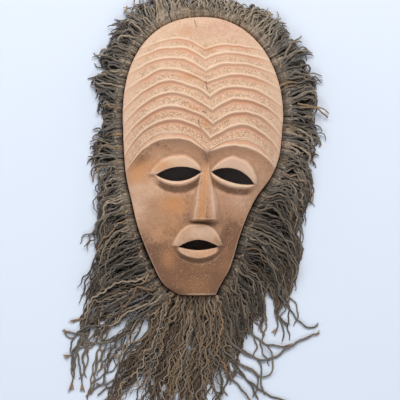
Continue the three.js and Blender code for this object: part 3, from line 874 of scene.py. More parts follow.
def tubes(paths, radii, sides, shades, tints):
    # paths is strands x rings x 3, radii strands x rings. Each section is carried along its strand untwisted.
    strands, rings, _ = paths.shape
    along = unit(np.gradient(paths, axis=1))
    frames = [unit(np.cross(along[:, 0], [0.31, 0.17, 0.94]))]
    for ring in range(1, rings):
        kept = frames[-1] - (frames[-1] * along[:, ring]).sum(1, keepdims=True) * along[:, ring]
        frames.append(unit(kept))
    across = np.stack(frames, 1)
    other = np.cross(along, across)
    angle = 2 * np.pi * np.arange(sides) / sides
    out = across[:, :, None] * np.cos(angle)[:, None] + other[:, :, None] * np.sin(angle)[:, None]
    points = (paths[:, :, None] + out * radii[:, :, None, None]).reshape(-1, 3)
    at = np.arange(sides)
    start = (np.arange(strands) * rings * sides)[:, None, None]
    ringStart = start + (np.arange(rings - 1) * sides)[None, :, None]
    a = ringStart + at
    b = ringStart + np.roll(at, -1)
    quads = np.stack([a, a + sides, b + sides, b], -1).reshape(-1, 4)
    caps = np.concatenate([start[:, :, 0] + at, start[:, :, 0] + (rings - 1) * sides + at[::-1]])
    run = np.cumsum(np.linalg.norm(np.diff(paths, axis=1), axis=2), 1)
    run = np.concatenate([np.zeros((strands, 1)), run], 1)[..., None]
    share = run / np.maximum(run[:, -1:], 1e-6)

    def atPoints(*values):
        values = [np.broadcast_to(value, (strands, rings, sides)) for value in values]
        return np.stack(values, -1).reshape(-1, 3)

    ply = atPoints(np.cos(2 * angle), np.sin(2 * angle), 2 * np.pi * run / twistPitch)
    look = atPoints(clamp01(shades)[:, None, None], clamp01(tints)[:, None, None], share)
    return points, quads, caps, ply, look


def strandPiece(name, batches):  # a batch is what tubes takes
    points, plies, looks = [], [], []
    groups = {}
    count = 0
    for batch in batches:
        made, quads, caps, ply, look = tubes(*batch)
        groups.setdefault("quads", []).append(quads + count)
        groups.setdefault(caps.shape[1], []).append(caps + count)
        points.append(made)
        plies.append(ply)
        looks.append(look)
        count += len(made)
    faces = [np.concatenate(group) for group in groups.values()]
    vectors = {"ply": np.concatenate(plies), "look": np.concatenate(looks)}
    piece = makeMesh(name, np.concatenate(points), faces, vectors)
    piece.data.shade_smooth()
    print(name + ":", sum(len(group) * (group.shape[1] - 2) for group in faces), "triangles")
    return piece


def wanderOf(rng, strands, steps, sizes, waves):  # a smooth sideways drift for each strand
    u = np.linspace(0, 1, steps)[None]
    drift = np.zeros((strands, steps))
    for size, wave in zip(sizes, waves):
        phase = rng.uniform(0, 2 * np.pi, (strands, 1))
        pace = wave * rng.uniform(0.75, 1.3, (strands, 1))
        drift += size * rng.uniform(0.4, 1.0, (strands, 1)) * np.sin(2 * np.pi * pace * u + phase)
    return drift * np.minimum(u * 5, 1)


# The long cords hang along these lines of the picture, from the rim outwards.
longLines = [
    [(119, 166), (111, 168), (105, 175), (103, 186)],
    [(121, 182), (111, 186), (104, 198), (103, 212)],
    [(124, 198), (112, 203), (105, 216), (103, 232), (105, 244)],
    [(129, 214), (116, 219), (107, 231), (104, 248), (107, 264)],
    [(136, 232), (120, 238), (109, 250), (106, 268), (110, 286)],
    [(144, 252), (126, 261), (110, 270), (100, 284), (97, 299)],
    [(152, 268), (130, 280), (109, 289), (97, 300), (89, 313), (86, 325)],
    [(161, 283), (140, 291), (119, 303), (101, 315), (90, 328), (84, 341)],
    [(166, 290), (146, 299), (125, 311), (110, 325), (101, 339), (98, 352)],
    [(170, 293), (152, 303), (134, 315), (119, 330), (109, 344), (105, 356)],
    [(177, 299), (169, 319), (157, 340), (141, 360), (126, 378), (113, 396), (104, 416)],
    [(186, 300), (180, 330), (169, 360), (155, 388), (144, 414), (138, 432)],
    [(197, 300), (194, 330), (187, 360), (178, 392), (172, 430)],
    [(208, 300), (210, 330), (209, 360), (206, 392), (206, 430)],
    [(217, 299), (221, 318), (223, 338), (224, 356), (226, 372)],
    [(224, 291), (231, 306), (235, 321), (236, 336), (235, 350)],
    [(230, 277), (240, 294), (246, 311), (246, 328), (243, 340)],
    [(237, 260), (250, 274), (261, 292), (268, 308), (268, 322)],
    [(243, 247), (260, 256), (275, 271), (284, 289), (287, 304)],
    [(250, 234), (269, 240), (285, 254), (293, 270), (289, 287)],
    [(257, 221), (276, 224), (293, 236), (300, 256), (297, 277)],
    [(266, 207), (280, 208), (292, 217), (299, 232), (300, 250)],
    [(272, 193), (285, 193), (296, 201), (302, 214), (302, 230)],
    [(277, 179), (289, 179), (299, 187), (304, 200), (304, 214)],
    [(281, 163), (291, 163), (301, 170), (306, 182), (306, 195)],
]
# Openings between the long cords, through which the floor shows: their two ends and half width, in pixels.
gaps = [
    (150, 314, 129, 350, 11.5), (122, 336, 117, 351, 4.5), (119, 305, 112, 316, 3.5),
    (99, 354, 102, 386, 6.5), (113, 358, 109, 388, 6), (89, 336, 85, 366, 4.5), (95, 302, 88, 322, 4),
    (161, 383, 166, 394, 3), (216, 370, 219, 394, 4.5), (230, 364, 237, 388, 4.5), (240, 306, 243, 334, 4.5),
    (256, 296, 258, 316, 5.5), (270, 302, 272, 324, 5.5), (248, 336, 247, 356, 5), (233, 343, 236, 360, 3.5),
]


def evenly(points, steps):  # the line through points of the picture, in even steps
    points = np.array([onPicture(*point) for point in points])
    run = runAlong(points)
    fine = np.linspace(0, 1, 60) * run[-1]
    at = np.linspace(0, 1, steps) * run[-1]
    curves = [curveThrough(np.stack([run, points[:, axis]], 1))(fine) for axis in (0, 1)]
    return np.stack([np.interp(at, fine, curve) for curve in curves], 1)


def rimShareNear(point):
    points, _, run = fringeRim
    return run[np.argmin(((points - point) ** 2).sum(1))] / run[-1]


lineSteps = 100
lineShares = np.array([rimShareNear(onPicture(*line[0])) for line in longLines])
lineShares = np.where(lineShares > 0.5, lineShares - 1, lineShares)
lineOrder = np.argsort(lineShares)
fineLines = np.array([evenly(longLines[i], lineSteps + 1) for i in lineOrder])
lineShares = lineShares[lineOrder]


def alongLines(share, u):  # the path of each long cord from its root, strands x steps x 2, and its length
    share = np.where(share > 0.5, share - 1, share)
    place = np.clip(np.interp(share, lineShares, np.arange(len(lineShares))), 0, len(lineShares) - 1.001)
    low = place.astype(int)
    w = (place - low)[:, None, None]
    line = mix(fineLines[low], fineLines[low + 1], w)
    line = line - line[:, :1]
    at = np.clip(u, 0, 1) * lineSteps
    i = np.minimum(at.astype(int), lineSteps - 1)
    rows = np.arange(len(share))[:, None]
    path = mix(line[rows, i], line[rows, i + 1], (at - i)[..., None])
    last = line[:, -1] - line[:, -5]  # four steps
    return path + last[:, None] * (np.maximum(u - 1, 0) * lineSteps / 4)[..., None]


def spreadOut(share, spread):  # shares moved along the rim, no further than the drawn lines go
    return np.clip(np.where(share > 0.5, share - 1, share) + spread, lineShares[0], lineShares[-1])


def parted(rng, path):  # cords part round the openings, each to its own side and by its own amount
    rows = np.arange(len(path))
    for ax, ay, bx, by, wide in gaps:
        first, second = onPicture(ax, ay), onPicture(bx, by)
        line = second - first
        length = np.linalg.norm(line)
        turn = np.array([line, quarterTurn(line)]) / length
        size = np.array([0.6 * length, picture["scale"] * wide]) * rng.uniform(0.6, 1.2, (len(path), 1, 1))
        place = (path - 0.5 * (first + second)) @ turn.T / size
        nearest = np.clip(np.argmin((place ** 2).sum(2), 1), 1, path.shape[1] - 2)
        heading = unit(place[rows, nearest + 1] - place[rows, nearest - 1])
        across = quarterTurn(heading)
        across *= np.where((place[rows, nearest] * across).sum(1) < 0, -1.0, 1.0)[:, None]
        along = (place * heading[:, None]).sum(2)
        aside = (place * across[:, None]).sum(2)
        wanted = np.maximum(1 - along ** 2, 0) + 0.3 * np.maximum(aside, 0)
        shifted = np.where((np.abs(along) < 1) & (aside > -1.0) & (aside < wanted), wanted, aside)
        shifted = np.where(rng.uniform(0, 1, (len(path), 1)) < 0.07, aside, shifted)
        path = path + (shifted - aside)[..., None] * across[:, None] * size @ turn
    return path


# The tufts: width, cords of each knot over and under the others, rings, radius, drift of the whole tuft, and
# drift of its cords with the waves in it.
tufts = {
    "short": {
        "width": 9.0, "over": 2, "under": 3, "rings": 15, "radius": 1.15, "together": 0.8,
        "drift": (1.6, 0.8), "waves": (1.3, 3.0)},
    "long": {
        "width": 8.0, "over": 3, "under": 6, "rings": 36, "radius": 0.92, "together": 4.5,
        "drift": (3.2, 1.6, 0.7), "waves": (1.2, 3.2, 7.5)},
    "sweep": {
        "width": 12.0, "over": 2, "under": 3, "rings": 50, "radius": 0.95, "together": 8.0,
        "drift": (4.4, 2.2, 1.0), "waves": (1.2, 3.8, 10.0)},
    "beard": {
        "width": 8.0, "over": 4, "under": 9, "rings": 62, "radius": 0.84, "together": 4.0,
        "drift": (4.2, 2.8, 1.3), "waves": (1.2, 4.4, 13.0)},
}
# The cords of a knot that lie over the others, and those under them: the angles at which they go over the
# heading cord and leave it, how high they lie in the tuft, and how thick and light they are. The under cords
# are painted dark as painted shade, the over cords lighter as painted light.
layers = {
    "over": {
        "begin": (176, 150, 124, 98, 72, 50), "leave": (0, 38), "lift": (0.5, 1), "sides": 5, "thick": 1.05,
        "swell": 0.4, "long": 0.56, "short": 0.5, "byKnot": 1.0},
    "under": {
        "begin": (-60,), "leave": (-70, -5), "lift": (0, 0.7), "sides": 4, "thick": 0.9,
        "swell": 0.1, "long": 0.04, "short": 0.16, "byKnot": 0.3},
}
lighter = {"crown_left_upper": 0.5, "crown_right_upper": 0.5, "temple_left_upper": -0.12}
knotSpacing = 3.6
# The sections whose cords hang along the drawn lines: tuft, share of the line they reach, and colour.
hanging = {
    "beard_left": {"tuft": "beard", "reach": (0.62, 1.02), "warmth": 0.5, "shade": -0.08, "strays": 10},
    "jaw_left_lower": {"tuft": "sweep", "reach": (0.32, 0.98), "warmth": 0.3, "shade": -0.06, "strays": 18},
    "jaw_left_upper": {"tuft": "long", "reach": (0.5, 1.05), "warmth": 0.15, "shade": -0.33, "strays": 8},
    "temple_left_lower": {"tuft": "long", "reach": (0.6, 1.05), "warmth": 0.06, "shade": -0.1},
    "temple_right_lower": {"tuft": "long", "reach": (0.55, 1.0), "warmth": 0.1, "shade": -0.12},
    "jaw_right_upper": {"tuft": "long", "reach": (0.55, 1.05), "warmth": 0.16, "shade": -0.48, "strays": 6},
    "jaw_right_lower": {"tuft": "long", "reach": (0.5, 1.0), "warmth": 0.2, "shade": -0.42, "strays": 14},
    "beard_right": {"tuft": "beard", "reach": (0.6, 1.02), "warmth": 0.45, "shade": -0.09, "strays": 16},
}


def wrapped(root, outward, leave, strand, begin):  # a cord's way over the heading cord
    coreOut = (fringe["core"] + strand)[:, None]
    turns = np.column_stack([np.tile(np.radians(begin), (len(leave), 1)), leave + 0.3])
    ring = root - outward * ringInset
    out = ring[:, None] + outward[:, None] * (coreOut * np.cos(turns))[..., None]
    return withHeight(out, fringe["ringHeight"] + coreOut * np.sin(turns))


def shortPaths(rng, group, groups, outward, reach, steps):  # stiff short cords that hook over to one side
    u = np.linspace(0, 1, steps)[None]
    count = len(group)
    start = np.arctan2(outward[:, 1], outward[:, 0])
    down = np.where(np.cos(start) < 0, 1.0, -1.0)
    loose = rng.uniform(-1, 1, groups)[group]
    sign = down * np.where(loose < -0.85, -1, 1)
    sign = np.where(np.abs(np.cos(start)) < 0.3, np.sign(loose + 0.25 * down), sign)
    lean = np.radians(rng.uniform(-32, 14, groups)[group] + rng.uniform(-15, 15, count)) * sign
    curl = np.radians(rng.uniform(50, 170, groups)[group] + rng.uniform(-45, 80, count))
    bendAt = (rng.uniform(0.3, 0.6, groups)[group] + rng.uniform(-0.1, 0.1, count))[:, None]
    angle = (start + lean)[:, None] + (sign * curl)[:, None] * smooth(bendAt, bendAt + 0.55, u)
    length = (reach * rng.uniform(1.15, 1.6, groups)[group] * rng.uniform(0.75, 1.12, count))[:, None]
    step = length / (steps - 1)
    move = np.stack([np.cos(angle), np.sin(angle)], -1) * step[..., None]
    return np.concatenate([np.zeros((count, 1, 2)), np.cumsum(0.5 * (move[:, 1:] + move[:, :-1]), 1)], 1)


def longPaths(rng, section, share, group, groups, root, steps):  # cords on the drawn lines, in loose locks
    u = np.linspace(0, 1, steps)[None]
    count = len(share)
    low, high = sections[section]
    shortest, longest = hanging[section]["reach"]
    reach = mix(shortest, longest, rng.uniform(0, 1, count) ** 1.2) * rng.uniform(0.85, 1.12, groups)[group]
    along = reach[:, None] * u
    astray = (rng.uniform(0, 1, count) < 0.2) * rng.normal(0, 0.035, count)
    own = root[:, None] + alongLines(spreadOut(share, rng.normal(0, 0.009, count) + astray), along)
    middle = low + (high - low) * (np.arange(groups) + 0.5) / groups
    lockShare = spreadOut(middle[group], rng.normal(0, 0.008, groups)[group])
    together = rimAt(middle)[0][group][:, None] + alongLines(lockShare, along)
    held = rng.uniform(0.1, 0.9, count)[:, None] * smooth(0.05, 0.6, u)
    return mix(own, together, held[..., None])


def lockStrands(rng, section):
    low, high = sections[section]
    kind = "long" if section in hanging else "short"
    drawn = hanging.get(section) or {"tuft": "short", "warmth": 0.05, "shade": lighter.get(section, 0.0)}
    style = tufts[drawn["tuft"]]
    width = (high - low) * rimLength
    groups = max(int(round(width / style["width"])), 1)
    knots = int(width / knotSpacing)
    steps = style["rings"]
    u = np.linspace(0, 1, steps)[None]
    groupLift = rng.uniform(0.7, 1.4, groups)
    groupShade = rng.uniform(-0.14, 0.16, groups)
    groupDrift = wanderOf(rng, groups, steps, (style["together"], 0.35 * style["together"]), (0.8, 2.1))
    knotShift = rng.normal(0, 0.7, knots)
    knotSize = rng.uniform(0.75, 1.35, knots)
    knotShade = rng.uniform(-0.2, 0.25, knots)
    batches = []
    for place, layer in layers.items():
        knot = np.repeat(np.arange(knots), style[place])
        count = len(knot)
        aside = np.tile(np.linspace(-1, 1, style[place]), knots) * 0.95 + rng.normal(0, 0.3, count)
        share = low + (high - low) * (knot + 0.5) / knots + (aside + knotShift[knot]) / rimLength
        share = np.clip(share, low + 0.3 / rimLength, high - 0.3 / rimLength)
        group = np.minimum(((knot + 0.5) / knots * groups).astype(int), groups - 1)
        root, outward = rimAt(share)
        lift = rng.uniform(*layer["lift"], count)
        if kind == "long":
            path = longPaths(rng, section, share, group, groups, root, steps)
        else:
            reach = np.minimum(reachAround(share), 1.15 * lock)
            path = root[:, None] + shortPaths(rng, group, groups, outward, reach, steps)
        drift = wanderOf(rng, count, steps, style["drift"], style["waves"])
        path = movedAside(path, drift * mix(0.7, 1.25, u) + groupDrift[group])
        if kind == "long":
            path = parted(rng, path)
        strand = style["radius"] * rng.uniform(0.8, 1.25, count) * layer["thick"]
        leave = np.radians(mix(*layer["leave"], lift))
        thick = mix(fringe["rootThickness"], fringe["tipThickness"], u ** 0.8) * groupLift[group][:, None]
        z = strand[:, None] + lift[:, None] * np.maximum(thick - 2 * strand[:, None], 0)
        if kind == "short":
            z = z + groupLift[group][:, None] * lift[:, None] * 4.5 * np.sin(np.pi * u)
        z = z + wanderOf(rng, count, steps, (1.1,), (2.2,))
        rootZ = fringe["ringHeight"] + (fringe["core"] + strand) * np.sin(leave)
        z = mix(rootZ[:, None], z, smooth(0, 0.15 if kind == "long" else 0.3, u))
        begin = wrapped(root, outward, leave, strand, layer["begin"])
        path = np.concatenate([begin, withHeight(path, z)], 1)
        swell = 1 + layer["swell"] * (knotSize[knot][:, None] * smooth(0.22, 0.02, u))
        atKnot = np.repeat(swell[:, :1], begin.shape[1], 1)
        taper = np.concatenate([atKnot, swell * (1 - 0.45 * smooth(0.85, 1, u))], 1)
        path[..., 2] = np.maximum(path[..., 2], strand[:, None] * taper * 1.06)
        # low values darken the under cords as painted shade, high values lighten the over cords as painted
        # light; the rest varies at random
        shades = layer[kind] + 0.25 * rng.standard_normal(count) + groupShade[group] + drawn["shade"]
        shades = shades + knotShade[knot] * layer["byKnot"]
        tints = rng.uniform(0, 0.3, count) + (rng.uniform(0, 1, count) < 0.05) * 0.7 + drawn["warmth"]
        batches.append((path, strand[:, None] * taper, layer["sides"], shades, tints))
    return batches


# Tan cords knotted in front of the others, close under the chin, in mm and shares of the drawn lines.
chinCords = {
    "sections": ("beard_left", "beard_right"), "spacing": 2.0, "inset": 9.4, "reach": (0.1, 0.2),
    "high": 24.0, "low": 15.0, "rings": 18,
}


def chinBatch(rng, section):
    if section not in chinCords["sections"]:
        return []
    low, high = sections[section]
    count = int((high - low) * rimLength / chinCords["spacing"])
    steps = chinCords["rings"]
    u = np.linspace(0, 1, steps)[None]
    share = low + (high - low) * (np.arange(count) + rng.uniform(0, 1, count)) / count
    point, outward = rimAt(share)
    root = point - outward * chinCords["inset"]
    path = root[:, None] + alongLines(share, rng.uniform(*chinCords["reach"], (count, 1)) * u)
    path = movedAside(path, wanderOf(rng, count, steps, (1.8, 0.9), (0.8, 2.2)))
    z = mix(chinCords["high"], chinCords["low"], smooth(0.15, 1, u)) + rng.uniform(-3, 3, (count, 1))
    z = z + 2 * np.sin(np.pi * u)
    radii = rng.uniform(1.0, 1.4, (count, 1)) * (1.2 - 0.5 * u)
    return [(withHeight(path, z), radii, 6, rng.normal(0.62, 0.2, count), rng.uniform(0.5, 1.0, count))]


strayRings = 60
strayEdge = np.array([-172.0, -174.0])  # none runs further left or further down than the cords that are drawn


def strayBatch(rng, section):  # single cords that run on past the locks, over the floor
    count = hanging.get(section, {}).get("strays", 0)
    if not count:
        return []
    u = np.linspace(0, 1, strayRings)[None]
    share = rng.uniform(*sections[section], count)
    reach = rng.uniform(0.95, 1.45, (count, 1))
    path = rimAt(share)[0][:, None] + alongLines(spreadOut(share, rng.normal(0, 0.012, count)), reach * u)
    drift = wanderOf(rng, count, strayRings, (9.0, 4.0, 1.2), (0.9, 2.6, 8.0))
    path = movedAside(path, drift * mix(0.5, 1.3, u))
    inwards = np.maximum(strayEdge - path.min(1), 0)
    path = path + inwards[:, None] * smooth(0.2, 0.9, u)[..., None]
    radius = rng.uniform(0.85, 1.3, (count, 1))
    z = radius * 1.1 + rng.uniform(4, 16, (count, 1)) * smooth(0.75, 0.0, u)
    radii = radius * (1 - 0.4 * smooth(0.93, 1, u))
    return [(withHeight(path, z), radii, 5, rng.normal(0.3, 0.14, count), rng.uniform(0.05, 0.5, count))]


# Cords that lie loose on the floor or across the others, by section: radius, points of the picture, and for
# one that stands out the tint and how much higher its root lies, in mm.
looseCords = {
    "crown_left_lower": [
        (0.8, [(146, 38), (136, 27), (127, 20), (122, 26), (124, 36)], 0.3, 12),
        (0.9, [(147, 33), (140, 24), (134, 15), (129, 12), (126, 17)], 0.4, 14)],
    "crown_right_upper": [
        (0.8, [(236, 20), (244, 12), (256, 10), (266, 14), (274, 24), (272, 33)], 0.35, 12),
        (0.8, [(246, 24), (254, 17), (262, 16), (268, 22), (269, 30)], 0.2, 12)],
    "crown_left_upper": [
        (1.3, [(190, 19), (189, 14), (190, 8), (189, 3)], 1.0, 20)],
    "crown_right_lower": [
        (1.1, [(276, 88), (284, 84), (291, 81), (298, 82), (303, 86)], 1.0, 20),
        (0.9, [(277, 92), (286, 88), (294, 85), (300, 87), (304, 91)], 0.8, 18)],
    "temple_right_upper": [
        (1.2, [(298, 103), (307, 105), (315, 107), (322, 111), (329, 117)], 0.9, 12),
        (1.0, [(299, 107), (308, 107), (317, 106), (324, 109), (330, 113)], 1.0, 12),
        (0.9, [(281, 126), (288, 125), (295, 127), (299, 133), (300, 139)], 0.7, 20),
        (0.8, [(282, 137), (291, 137), (300, 137), (309, 138), (315, 140)], 0.1, 16)],
    "jaw_left_upper": [
        (1.1, [(104, 281), (97, 291), (91, 301), (86, 312), (81, 320), (79, 333)]),
        (0.9, [(100, 284), (92, 289), (84, 295), (80, 297)])],
    "jaw_left_lower": [
        (1.2, [(112, 318), (98, 319), (88, 319), (80, 320)]),
        (1.3, [(100, 326), (86, 331), (76, 334), (69, 334), (64, 333)]),
        (1.0, [(88, 335), (79, 336), (72, 339), (66, 338), (64, 333)]),
        (1.2, [(112, 342), (100, 344), (87, 346), (75, 353), (68, 357)]),
        (1.2, [(90, 326), (80, 331), (71, 342), (69, 351), (74, 362), (73, 375), (71, 384)]),
        (1.2, [(96, 326), (83, 332), (77, 345), (77, 360), (80, 375), (81, 386)]),
        (1.2, [(112, 340), (106, 346), (100, 358), (95, 370), (94, 381), (92, 391), (85, 398)]),
        (1.1, [(126, 371), (120, 377), (111, 382), (101, 387), (95, 385)]),
        (1.1, [(130, 378), (120, 384), (110, 388), (103, 392), (97, 398)]),
        (1.0, [(124, 338), (114, 342), (100, 344), (90, 344), (81, 346)]),
        (1.1, [(150, 308), (140, 328), (132, 344), (123, 358), (118, 371)]),
        (1.1, [(158, 308), (151, 318), (146, 333), (134, 346), (128, 360), (124, 374)])],
    "jaw_right_upper": [
        (1.2, [(280, 296), (286, 304), (292, 312), (300, 322), (308, 329), (314, 329), (319, 324)]),
        (1.1, [(281, 284), (278, 300), (276, 315), (278, 325), (278, 332)]),
        (1.1, [(284, 290), (282, 308), (279, 316), (283, 326), (284, 336), (283, 343)]),
        (0.9, [(288, 292), (287, 300), (286, 311), (281, 318), (288, 324), (291, 325)]),
        (1.0, [(289, 280), (293, 287), (292, 295), (286, 298)])],
    "jaw_right_lower": [
        (1.55, [(226, 332), (232, 344), (240, 352), (252, 358), (266, 361), (278, 358), (290, 348),
         (300, 342), (316, 336)]),
        (1.3, [(244, 308), (245, 320), (250, 330), (257, 339), (266, 346), (275, 347), (287, 347)]),
        (1.2, [(262, 342), (268, 348), (273, 357), (274, 368), (270, 376), (262, 378), (254, 373),
         (243, 366)]),
        (1.3, [(250, 286), (246, 305), (243, 320), (240, 335), (238, 350), (232, 361)]),
        (1.1, [(270, 284), (262, 300), (256, 305), (251, 315), (248, 326)])],
    "beard_right": [
        (1.2, [(226, 338), (230, 345), (245, 352), (258, 362), (262, 372), (262, 385), (265, 397)]),
        (1.3, [(222, 350), (235, 362), (248, 370), (256, 376), (258, 388), (254, 399)]),
        (1.5, [(208, 350), (215, 360), (228, 375), (240, 388), (250, 402), (262, 416)]),
        (1.3, [(232, 366), (245, 380), (262, 392), (279, 401), (290, 404)]),
        (1.4, [(214, 340), (225, 355), (237, 368), (250, 385), (259, 402)])],
    "beard_left": [
        (1.3, [(150, 356), (140, 366), (132, 380), (122, 396), (112, 404)])],
}
# Ends that have come apart into short brown fibres: from where to where on the picture.
brushEnds = {
    "jaw_left_lower": [
        (80, 320, 70, 322), (68, 357, 63, 358), (71, 384, 69, 392), (81, 386, 81, 393), (65, 333, 63, 332)],
    "jaw_right_lower": [(316, 336, 320, 334), (287, 347, 291, 347)],
    "jaw_right_upper": [(278, 330, 275, 335)],
}
hairs, hairRings = 12, 6


def looseBatches(rng, section):
    batches = []
    for radius, points, *special in looseCords.get(section, []):
        tint, high = special or (rng.uniform(0, 0.3), 0.0)
        length = sum(math.dist(a, b) for a, b in zip(points, points[1:])) * picture["scale"]
        steps = max(int(length / 3.2), 8)
        kink = wanderOf(rng, 1, steps, (0.9, 0.7), (length / 45, length / 17))
        line = movedAside(evenly(points, steps)[None], kink)
        u = np.linspace(0, 1, steps)[None]
        humps = 1.4 * np.maximum(wanderOf(rng, 1, steps, (1.0,), (length / 50,)), 0)
        z = radius * 1.25 + 7.0 * smooth(0.3, 0, u) + humps
        z = z + high * smooth(1.25, 0.4, u)
        radii = radius * (1 + 0.12 * np.sin(length * u)) * (1 - 0.3 * smooth(0.92, 1, u))
        shades = rng.uniform(0.5, 0.75, 1) if special else rng.uniform(0.15, 0.5, 1)
        batches.append((withHeight(line, z), radii, 6, shades, np.array([tint])))
    for x0, y0, x1, y1 in brushEnds.get(section, []):
        start = onPicture(x0, y0)[None] + rng.normal(0, 0.35, (hairs, 2))
        end = onPicture(x1, y1)[None] + rng.normal(0, 1.7, (hairs, 2))
        u = np.linspace(0, 1, hairRings)[None]
        line = mix(start[:, None], end[:, None], u[..., None] * rng.uniform(0.8, 1.15, (hairs, 1, 1)))
        z = np.repeat(1.3 + rng.uniform(-0.5, 0.9, (hairs, 1)), hairRings, 1)
        radii = np.tile(0.62 * (1 - 0.5 * u), (hairs, 1))
        batches.append((withHeight(line, z), radii, 5, rng.uniform(0.4, 0.8, hairs), np.ones(hairs)))
    return batches


def makeFringe():
    pieces = []
    for number, section in enumerate(sections):
        rng = np.random.default_rng(fringe["seed"] + number)
        batches = []
        for makeBatches in (lockStrands, strayBatch, looseBatches, chinBatch):
            batches += makeBatches(rng, section)
        piece = strandPiece("cords_" + section, batches)
        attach(piece, "root")
        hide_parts(section)
        pieces.append(piece)
    return pieces


# The heading cord: the length of one turn of its plies, the step along them, their distance from its middle
# and their radius.
rope = {"turn": 11.0, "step": 1.25, "out": 1.3, "radius": 1.4}
gapShadowCord = {"out": 2.4, "height": 6.0, "radius": 1.7}  # a cord in the gap beside the wall, painted near black as painted shadow


def ringBatches():
    turns = int(rimLength / rope["turn"])
    count = int(rimLength / rope["step"])
    share = np.arange(count + 1) / count
    point, outward = rimAt(np.minimum(share, 0.999999))
    plies = []
    for ply in (0, math.pi):
        angle = 2 * np.pi * turns * share + ply
        out = point - outward * ringInset + outward * (rope["out"] * np.cos(angle))[:, None]
        plies.append(withHeight(out, fringe["ringHeight"] + rope["out"] * np.sin(angle)))
    plies = np.array(plies)
    # painted shadow: the near-black cord fills the gap between the wall and the heading cord
    wall = point - outward * (rimOut - gapShadowCord["out"])
    wall = withHeight(wall, np.full(len(wall), gapShadowCord["height"]))[None, ::2]
    return [
        (plies, np.full(plies.shape[:2], rope["radius"]), 7, np.array([0.3, 0.35]), np.array([0.2, 0.25])),
        (wall, np.full(wall.shape[:2], gapShadowCord["radius"]), 6, np.zeros(1), np.array([0.3])),
    ]


# Knots lie round the cord, unevenly, in three turns: from and to what angle, half length and radius.
knotTurns = ((-10, 60, 1.6, 1.3), (20, 85, 1.3, 1.15), (-45, 25, 1.3, 1.15))


def knotBatches():
    rng = np.random.default_rng(3)
    shares = []
    for low, high in sections.values():
        knots = int((high - low) * rimLength / knotSpacing)
        shares.append(low + (high - low) * (np.arange(knots) + 0.5) / knots)
    share = np.concatenate(shares)
    knots = len(share)
    point, outward = rimAt(share + rng.normal(0, 1.0, knots) / rimLength)
    along = quarterTurn(outward)
    ring = point - outward * ringInset
    run = np.linspace(-1, 1, 6)[None]
    batches = []
    for low, high, wide, size in knotTurns:
        tilt = np.radians(rng.uniform(low, high, (knots, 1)))
        reach = fringe["core"] + 2.7 + rng.uniform(-0.5, 0.7, (knots, 1)) - 1.6 * np.abs(run) ** 2.5
        slant = rng.uniform(-2.6, 2.6, (knots, 1)) * run
        spread = wide * rng.uniform(0.8, 1.5, (knots, 1)) * run + rng.uniform(-1, 1, (knots, 1))
        path = ring[:, None] + outward[:, None] * (reach * np.cos(tilt) + slant)[..., None]
        path = path + along[:, None] * spread[..., None]
        path = withHeight(path, fringe["ringHeight"] + reach * np.sin(tilt))
        radii = size * rng.uniform(0.75, 1.3, (knots, 1)) * (1 - 0.3 * np.abs(run) ** 2)
        kept = rng.uniform(0, 1, knots) < 0.85
        count = kept.sum()
        batches.append((path[kept], radii[kept], 6, rng.normal(0.62, 0.3, count), rng.uniform(0, 0.7, count)))
    return batches


def makeHeading():
    piece = strandPiece("headingCord", ringBatches() + knotBatches())
    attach(piece, "root")
    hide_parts("heading_cord")
    return piece


def speckleGroup():  # small light or dark spots
    nodes, given, result = newGroup("speckle", {"Size": 0.0012, "Amount": 0.3}, ["Mask"])
    noise = nodes.noise(nodes.maths("DIVIDE", 1.0, given["Size"]), 3.0, 0.6)
    cut = nodes.maths("SUBTRACT", 0.78, nodes.times(given["Amount"], 0.4))
    over = nodes.maths("SUBTRACT", noise, cut)
    nodes.feed(result["Mask"], nodes.maths("MULTIPLY", over, 8.0, clamped=True))
    return nodes.tree


def grainGroup():  # long streaks along the piece
    nodes, given, result = newGroup("grain", {"Width": 0.003, "Stretch": 14.0, "Wander": 1.5}, ["Value"])
    x, y, z = nodes.parts(nodes.place())
    bent = nodes.times(nodes.noise(16.0, 1.0), given["Wander"])
    across = nodes.maths("ADD", nodes.maths("DIVIDE", x, given["Width"]), bent)
    along = nodes.maths("DIVIDE", y, nodes.times(given["Width"], given["Stretch"]))
    deep = nodes.maths("DIVIDE", z, given["Width"])
    joined = nodes.add("CombineXYZ", (across, along, deep)).outputs[0]
    nodes.feed(result["Value"], nodes.noise(1.0, 4.0, 0.55, joined))
    return nodes.tree


def pitGroup():  # round worm holes, few and scattered
    nodes, given, result = newGroup("pits", {"Spacing": 0.012, "Size": 0.1, "Share": 0.5}, ["Mask"])
    scale = nodes.maths("DIVIDE", 1.0, given["Spacing"])
    cells = nodes.add("TexVoronoi", voronoi_dimensions="2D", Vector=nodes.place(), Scale=scale).outputs
    chosen = nodes.add("SeparateColor", (cells["Color"],)).outputs
    kept = nodes.maths("LESS_THAN", chosen["Red"], given["Share"])
    size = nodes.times(given["Size"], nodes.maths("ADD", chosen["Green"], 0.5))
    inside = nodes.maths("SUBTRACT", size, cells["Distance"])
    nodes.feed(result["Mask"], nodes.times(nodes.maths("MULTIPLY", inside, 30.0, clamped=True), kept))
    return nodes.tree


def plyGroup():  # two plies wound round each other, from the strand's own coordinates
    nodes, given, result = newGroup("ply", {"Ply": None}, ["Groove", "Fibres"])
    x, y, turn = nodes.parts(given["Ply"])
    a = nodes.times(x, nodes.maths("COSINE", turn))
    b = nodes.times(y, nodes.maths("SINE", turn))
    nodes.feed(result["Groove"], nodes.ramp(nodes.maths("ADD", a, b), -0.95, -0.25, 1.0, 0.0))
    nodes.feed(result["Fibres"], nodes.noise(1500.0, 2.0))
    return nodes.tree


